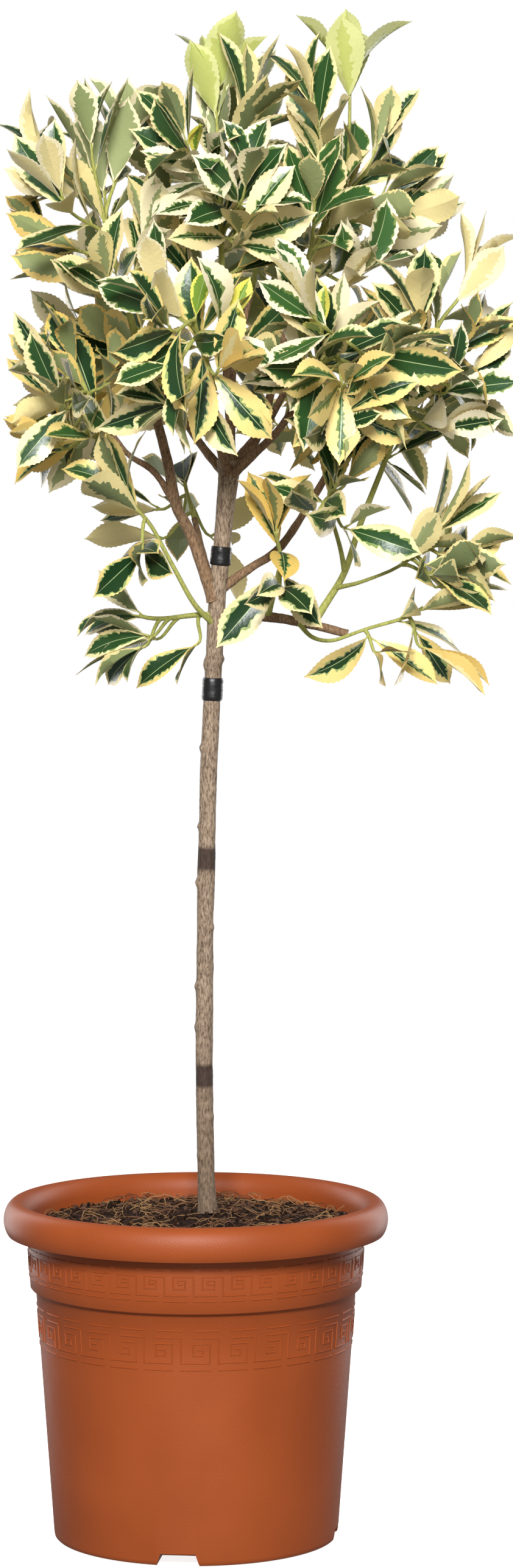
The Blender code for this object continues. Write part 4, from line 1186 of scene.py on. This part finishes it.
# %% Leaves on a shoot
CHANGES = [(turn, open_by, scale) for scale in (1.0, 0.85, 0.72) for open_by in (0, -12, 12)
           for turn in (0, 26, -26, 50, -50)]
PROXY_FACES = [(0, 1, 2), (0, 2, 3), (0, 3, 1), (4, 2, 1), (4, 3, 2), (4, 1, 3)]


def leaf_points(leaf, extra=0.0):
    """A leaf as five points: stalk, two edges, the keel below and the tip."""
    side = leaf.along.cross(leaf.normal).normalized()
    widest = leaf.root + leaf.along * leaf.length * LEAF_WIDEST
    width = side * (leaf.length * LEAF_WIDTH / 2 + extra)
    fold = leaf.normal * (leaf.length * LEAF_FOLD + extra)
    keel = leaf.root + leaf.along * leaf.length * KEEL_PLACE
    keel = keel - leaf.normal * (leaf.length * KEEL_DEPTH + extra)
    tip = leaf.root + leaf.along * leaf.length
    return [leaf.root, widest - width + fold, widest + width + fold, keel, tip]


def leaf_at(shoot, distance, rank, azimuth, seed, change):
    """One leaf on a shoot, its blade facing the shoot's tip."""
    draw = random.Random(seed)
    spot, heading = along(shoot.route, lengths(shoot.route)[-1] - distance)
    turn, open_by, scale = change
    across = heading.cross(Vector((0.31, 0.17, 0.93))).normalized()
    radial = Quaternion(heading, azimuth + math.radians(turn)) @ across
    spread = DIVERGENCE[rank] * by_height(spot, WIDE_LOW, WIDE_HIGH)
    angle = math.radians(max(spread + draw.uniform(-9, 9) + open_by, 4))
    direction = (heading * math.cos(angle) + radial * math.sin(angle)).normalized()
    normal = heading * math.sin(angle) - radial * math.cos(angle)
    normal = Quaternion(direction, math.radians(draw.uniform(-28, 28))) @ normal
    light = Vector((spot.x - CROWN_AXIS[0], spot.y - CROWN_AXIS[1], 0)).normalized() + UP
    to_light = (light - direction * light.dot(direction)).normalized()
    normal = normal.lerp(to_light, by_height(spot, TO_LIGHT_LOW, TO_LIGHT_HIGH))
    normal = (normal - direction * normal.dot(direction)).normalized()
    length = LEAF_LENGTH * LEAF_SIZE[rank] * draw.uniform(0.88, 1.10) * scale
    return Leaf(spot - direction * SINK, direction, normal, length)


def fitted_leaf(shoot, distance, rank, azimuth, seed, name, space, spared):
    """The first of a leaf's changes that keeps to the mass's space and clear of all that is placed."""
    for change in CHANGES:
        leaf = leaf_at(shoot, distance, rank, azimuth, seed, change)
        points = leaf_points(leaf)
        if not all(in_space(p, name) for p in points[1:] if (p - leaf.root).length > STEM_EXEMPTION):
            continue
        if not space.hit(points, PROXY_FACES, spared):
            return leaf
    return None


# %% Colours by spray
YOUNG_ABOVE = 0.86
YOUNG_CHANCE = 0.16
GREEN_SHARES = (0.22, 0.42, 0.54, 0.62, 0.69)
FIRST_LEAF = 0.0012
YOUNG_SIZE = 0.62
LIME_SHOOTS = (("foliage_top", 1), ("foliage_top_right", 1))


def spray_look(tip, rng):
    """Whiter margins high up and on the right, yellower ones low, inside and on the left."""
    height = (tip.z - 0.62) / 0.49
    outward = (tip - Vector((*CROWN_AXIS, 0.87))).length / 0.20
    pale = 0.9 * height + 0.5 * outward + 0.6 * tip.x + rng.uniform(-0.45, 0.45)
    margin = 0 if pale > 1.15 else 1 if pale > 0.80 else 2 if pale > 0.35 else 3
    middle = rng.choice((0, 0, 1, 1, 2))
    under = min(2, max(0, margin - rng.choice((0, 1))))
    # Underside green 3 is painted shade, dealt at random like the others.
    return (leaf_slot["margin", margin], leaf_slot["half_tone", middle], leaf_slot["middle", middle],
            leaf_slot["under_margin", under], leaf_slot["under_middle", rng.choice((0, 1, 1, 2, 3))])


def lime_look():
    lime, edge = leaf_slot["lime", 0], leaf_slot["lime", 1]
    return (edge, lime, lime, edge, lime)


def young_look():
    green, edge = leaf_slot["young", 0], leaf_slot["young", 1]
    return (edge, edge, green, edge, green)


# %% Grow every mass
def shoot_fits(shoot, name, space, stem_number):
    """The shoot's own number in the space, or nothing if it leaves the mass's room or touches something."""
    start = shoot.route[0]
    outside = [p for p in shoot.route if not in_space(p, name)]
    if any((p - start).length > STEM_EXEMPTION for p in outside):
        return None
    proxy = Basket()
    tube(proxy, shoot.route, taper(shoot.route, shoot.radii), 3, 0)
    clear = [f for f in proxy.faces if all((proxy.points[i] - start).length > STRAIGHT_START for i in f)]
    if space.hit(proxy.points, clear, {stem_number}):
        return None
    return space.add(proxy.points, proxy.faces)


def grow(name, stem, targets, space, stem_number):
    """The twigs and leaves of one mass, as two pieces. The stem's own leaves come last."""
    twig_basket = Basket()
    leaf_basket = Basket()
    leaf_count = 0
    for number, shoot in list(enumerate(shoots(stem, targets), start=1)) + [(0, stem)]:
        shoot_number = stem_number if shoot is stem else shoot_fits(shoot, name, space, stem_number)
        if shoot_number is None:
            continue
        tube(twig_basket, shoot.route, taper(shoot.route, shoot.radii), 7, 0, twig_relief)
        draw = random.Random(f"{name} {number}")
        azimuth = draw.uniform(0, math.pi)
        look_rng = random.Random(f"{name} {number} look")
        tip = shoot.route[-1]
        look = spray_look(tip, look_rng)
        lime = (name, number) in LIME_SHOOTS
        young = tip.z > YOUNG_ABOVE and look_rng.random() < YOUNG_CHANCE
        green_share = look_rng.choice(GREEN_SHARES)
        total = lengths(shoot.route)[-1]
        distance = FIRST_LEAF
        pairs = LIME_PAIRS if lime else SPARSE.get(name, len(NODE_SPACING))
        for rank, gap in enumerate(NODE_SPACING[:pairs]):
            distance += gap * draw.uniform(0.9, 1.15)
            if distance > total * (1 - BARE_SHARE) or distance > total - STALK_LENGTH:
                break
            for side in range(2 if rank else 1):
                seed = f"{name} {number} {rank} {side}"
                leaf = fitted_leaf(shoot, distance + STAGGER * side, rank, azimuth + math.pi * side, seed,
                                   name, space, {shoot_number})
                if not leaf:
                    continue
                space.add(leaf_points(leaf), PROXY_FACES)
                leaf_look = lime_look() if lime else look
                if young and rank < 2:
                    leaf_look = young_look()
                    leaf = leaf._replace(length=leaf.length * YOUNG_SIZE)
                shape_rng = random.Random(seed + " shape")
                share = green_share + shape_rng.uniform(-GREEN_SWING, GREEN_SWING)
                share = min(max(share, GREEN_LEAST), GREEN_MOST)
                points = leaf_surface(leaf, shape_rng, share, LIME_BREADTH if lime else 1.0)
                leaf_basket.add(points.tolist(), leaf_faces, leaf_slots(leaf_look))
                stalk(leaf_basket, leaf)
                leaf_count += 1
            azimuth += math.pi / 2 + draw.uniform(-0.2, 0.2)
    twigs = twig_basket.make(name + "_twigs", [young_bark], angle=60)
    leaves = leaf_basket.make(name + "_leaves", leaf_materials, angle=50)
    return twigs, leaves, leaf_count


space = Space()
for name in LIMBS:
    route = limb_route(name)
    radii = stem_radii(route) if name == "trunk" else taper(route, LIMBS[name].radii)
    outline = Basket()
    tube(outline, route, radii, 6, 0)
    space.add(outline.points, outline.faces)
stems = {}
for name in MASSES:
    stem = mass_stem(name)
    outline = Basket()
    tube(outline, stem.route, taper(stem.route, stem.radii), 3, 0)
    stems[name] = (stem, space.add(outline.points, outline.faces))
leaf_total = 0
for name, mass in MASSES.items():
    stem, stem_number = stems[name]
    fill = mass.fill - 3 if name in SPARSE else mass.fill
    first = [Vector(p) for p in mass.reach] + fill_targets(name, fill, 0.90, name)
    shell = [] if name in SPARSE else fill_targets(name, mass.fill - 3, 0.88, name + " shell")
    inside = [] if name in SPARSE else fill_targets(name, 2, 0.62, name + " inside")
    twigs, leaves, count = grow(name, stem, first + shell + inside, space, stem_number)
    dress(leaves, "foliage", name)
    dress(twigs, "foliage")
    leaf_total += count
print(f"{leaf_total} leaves")
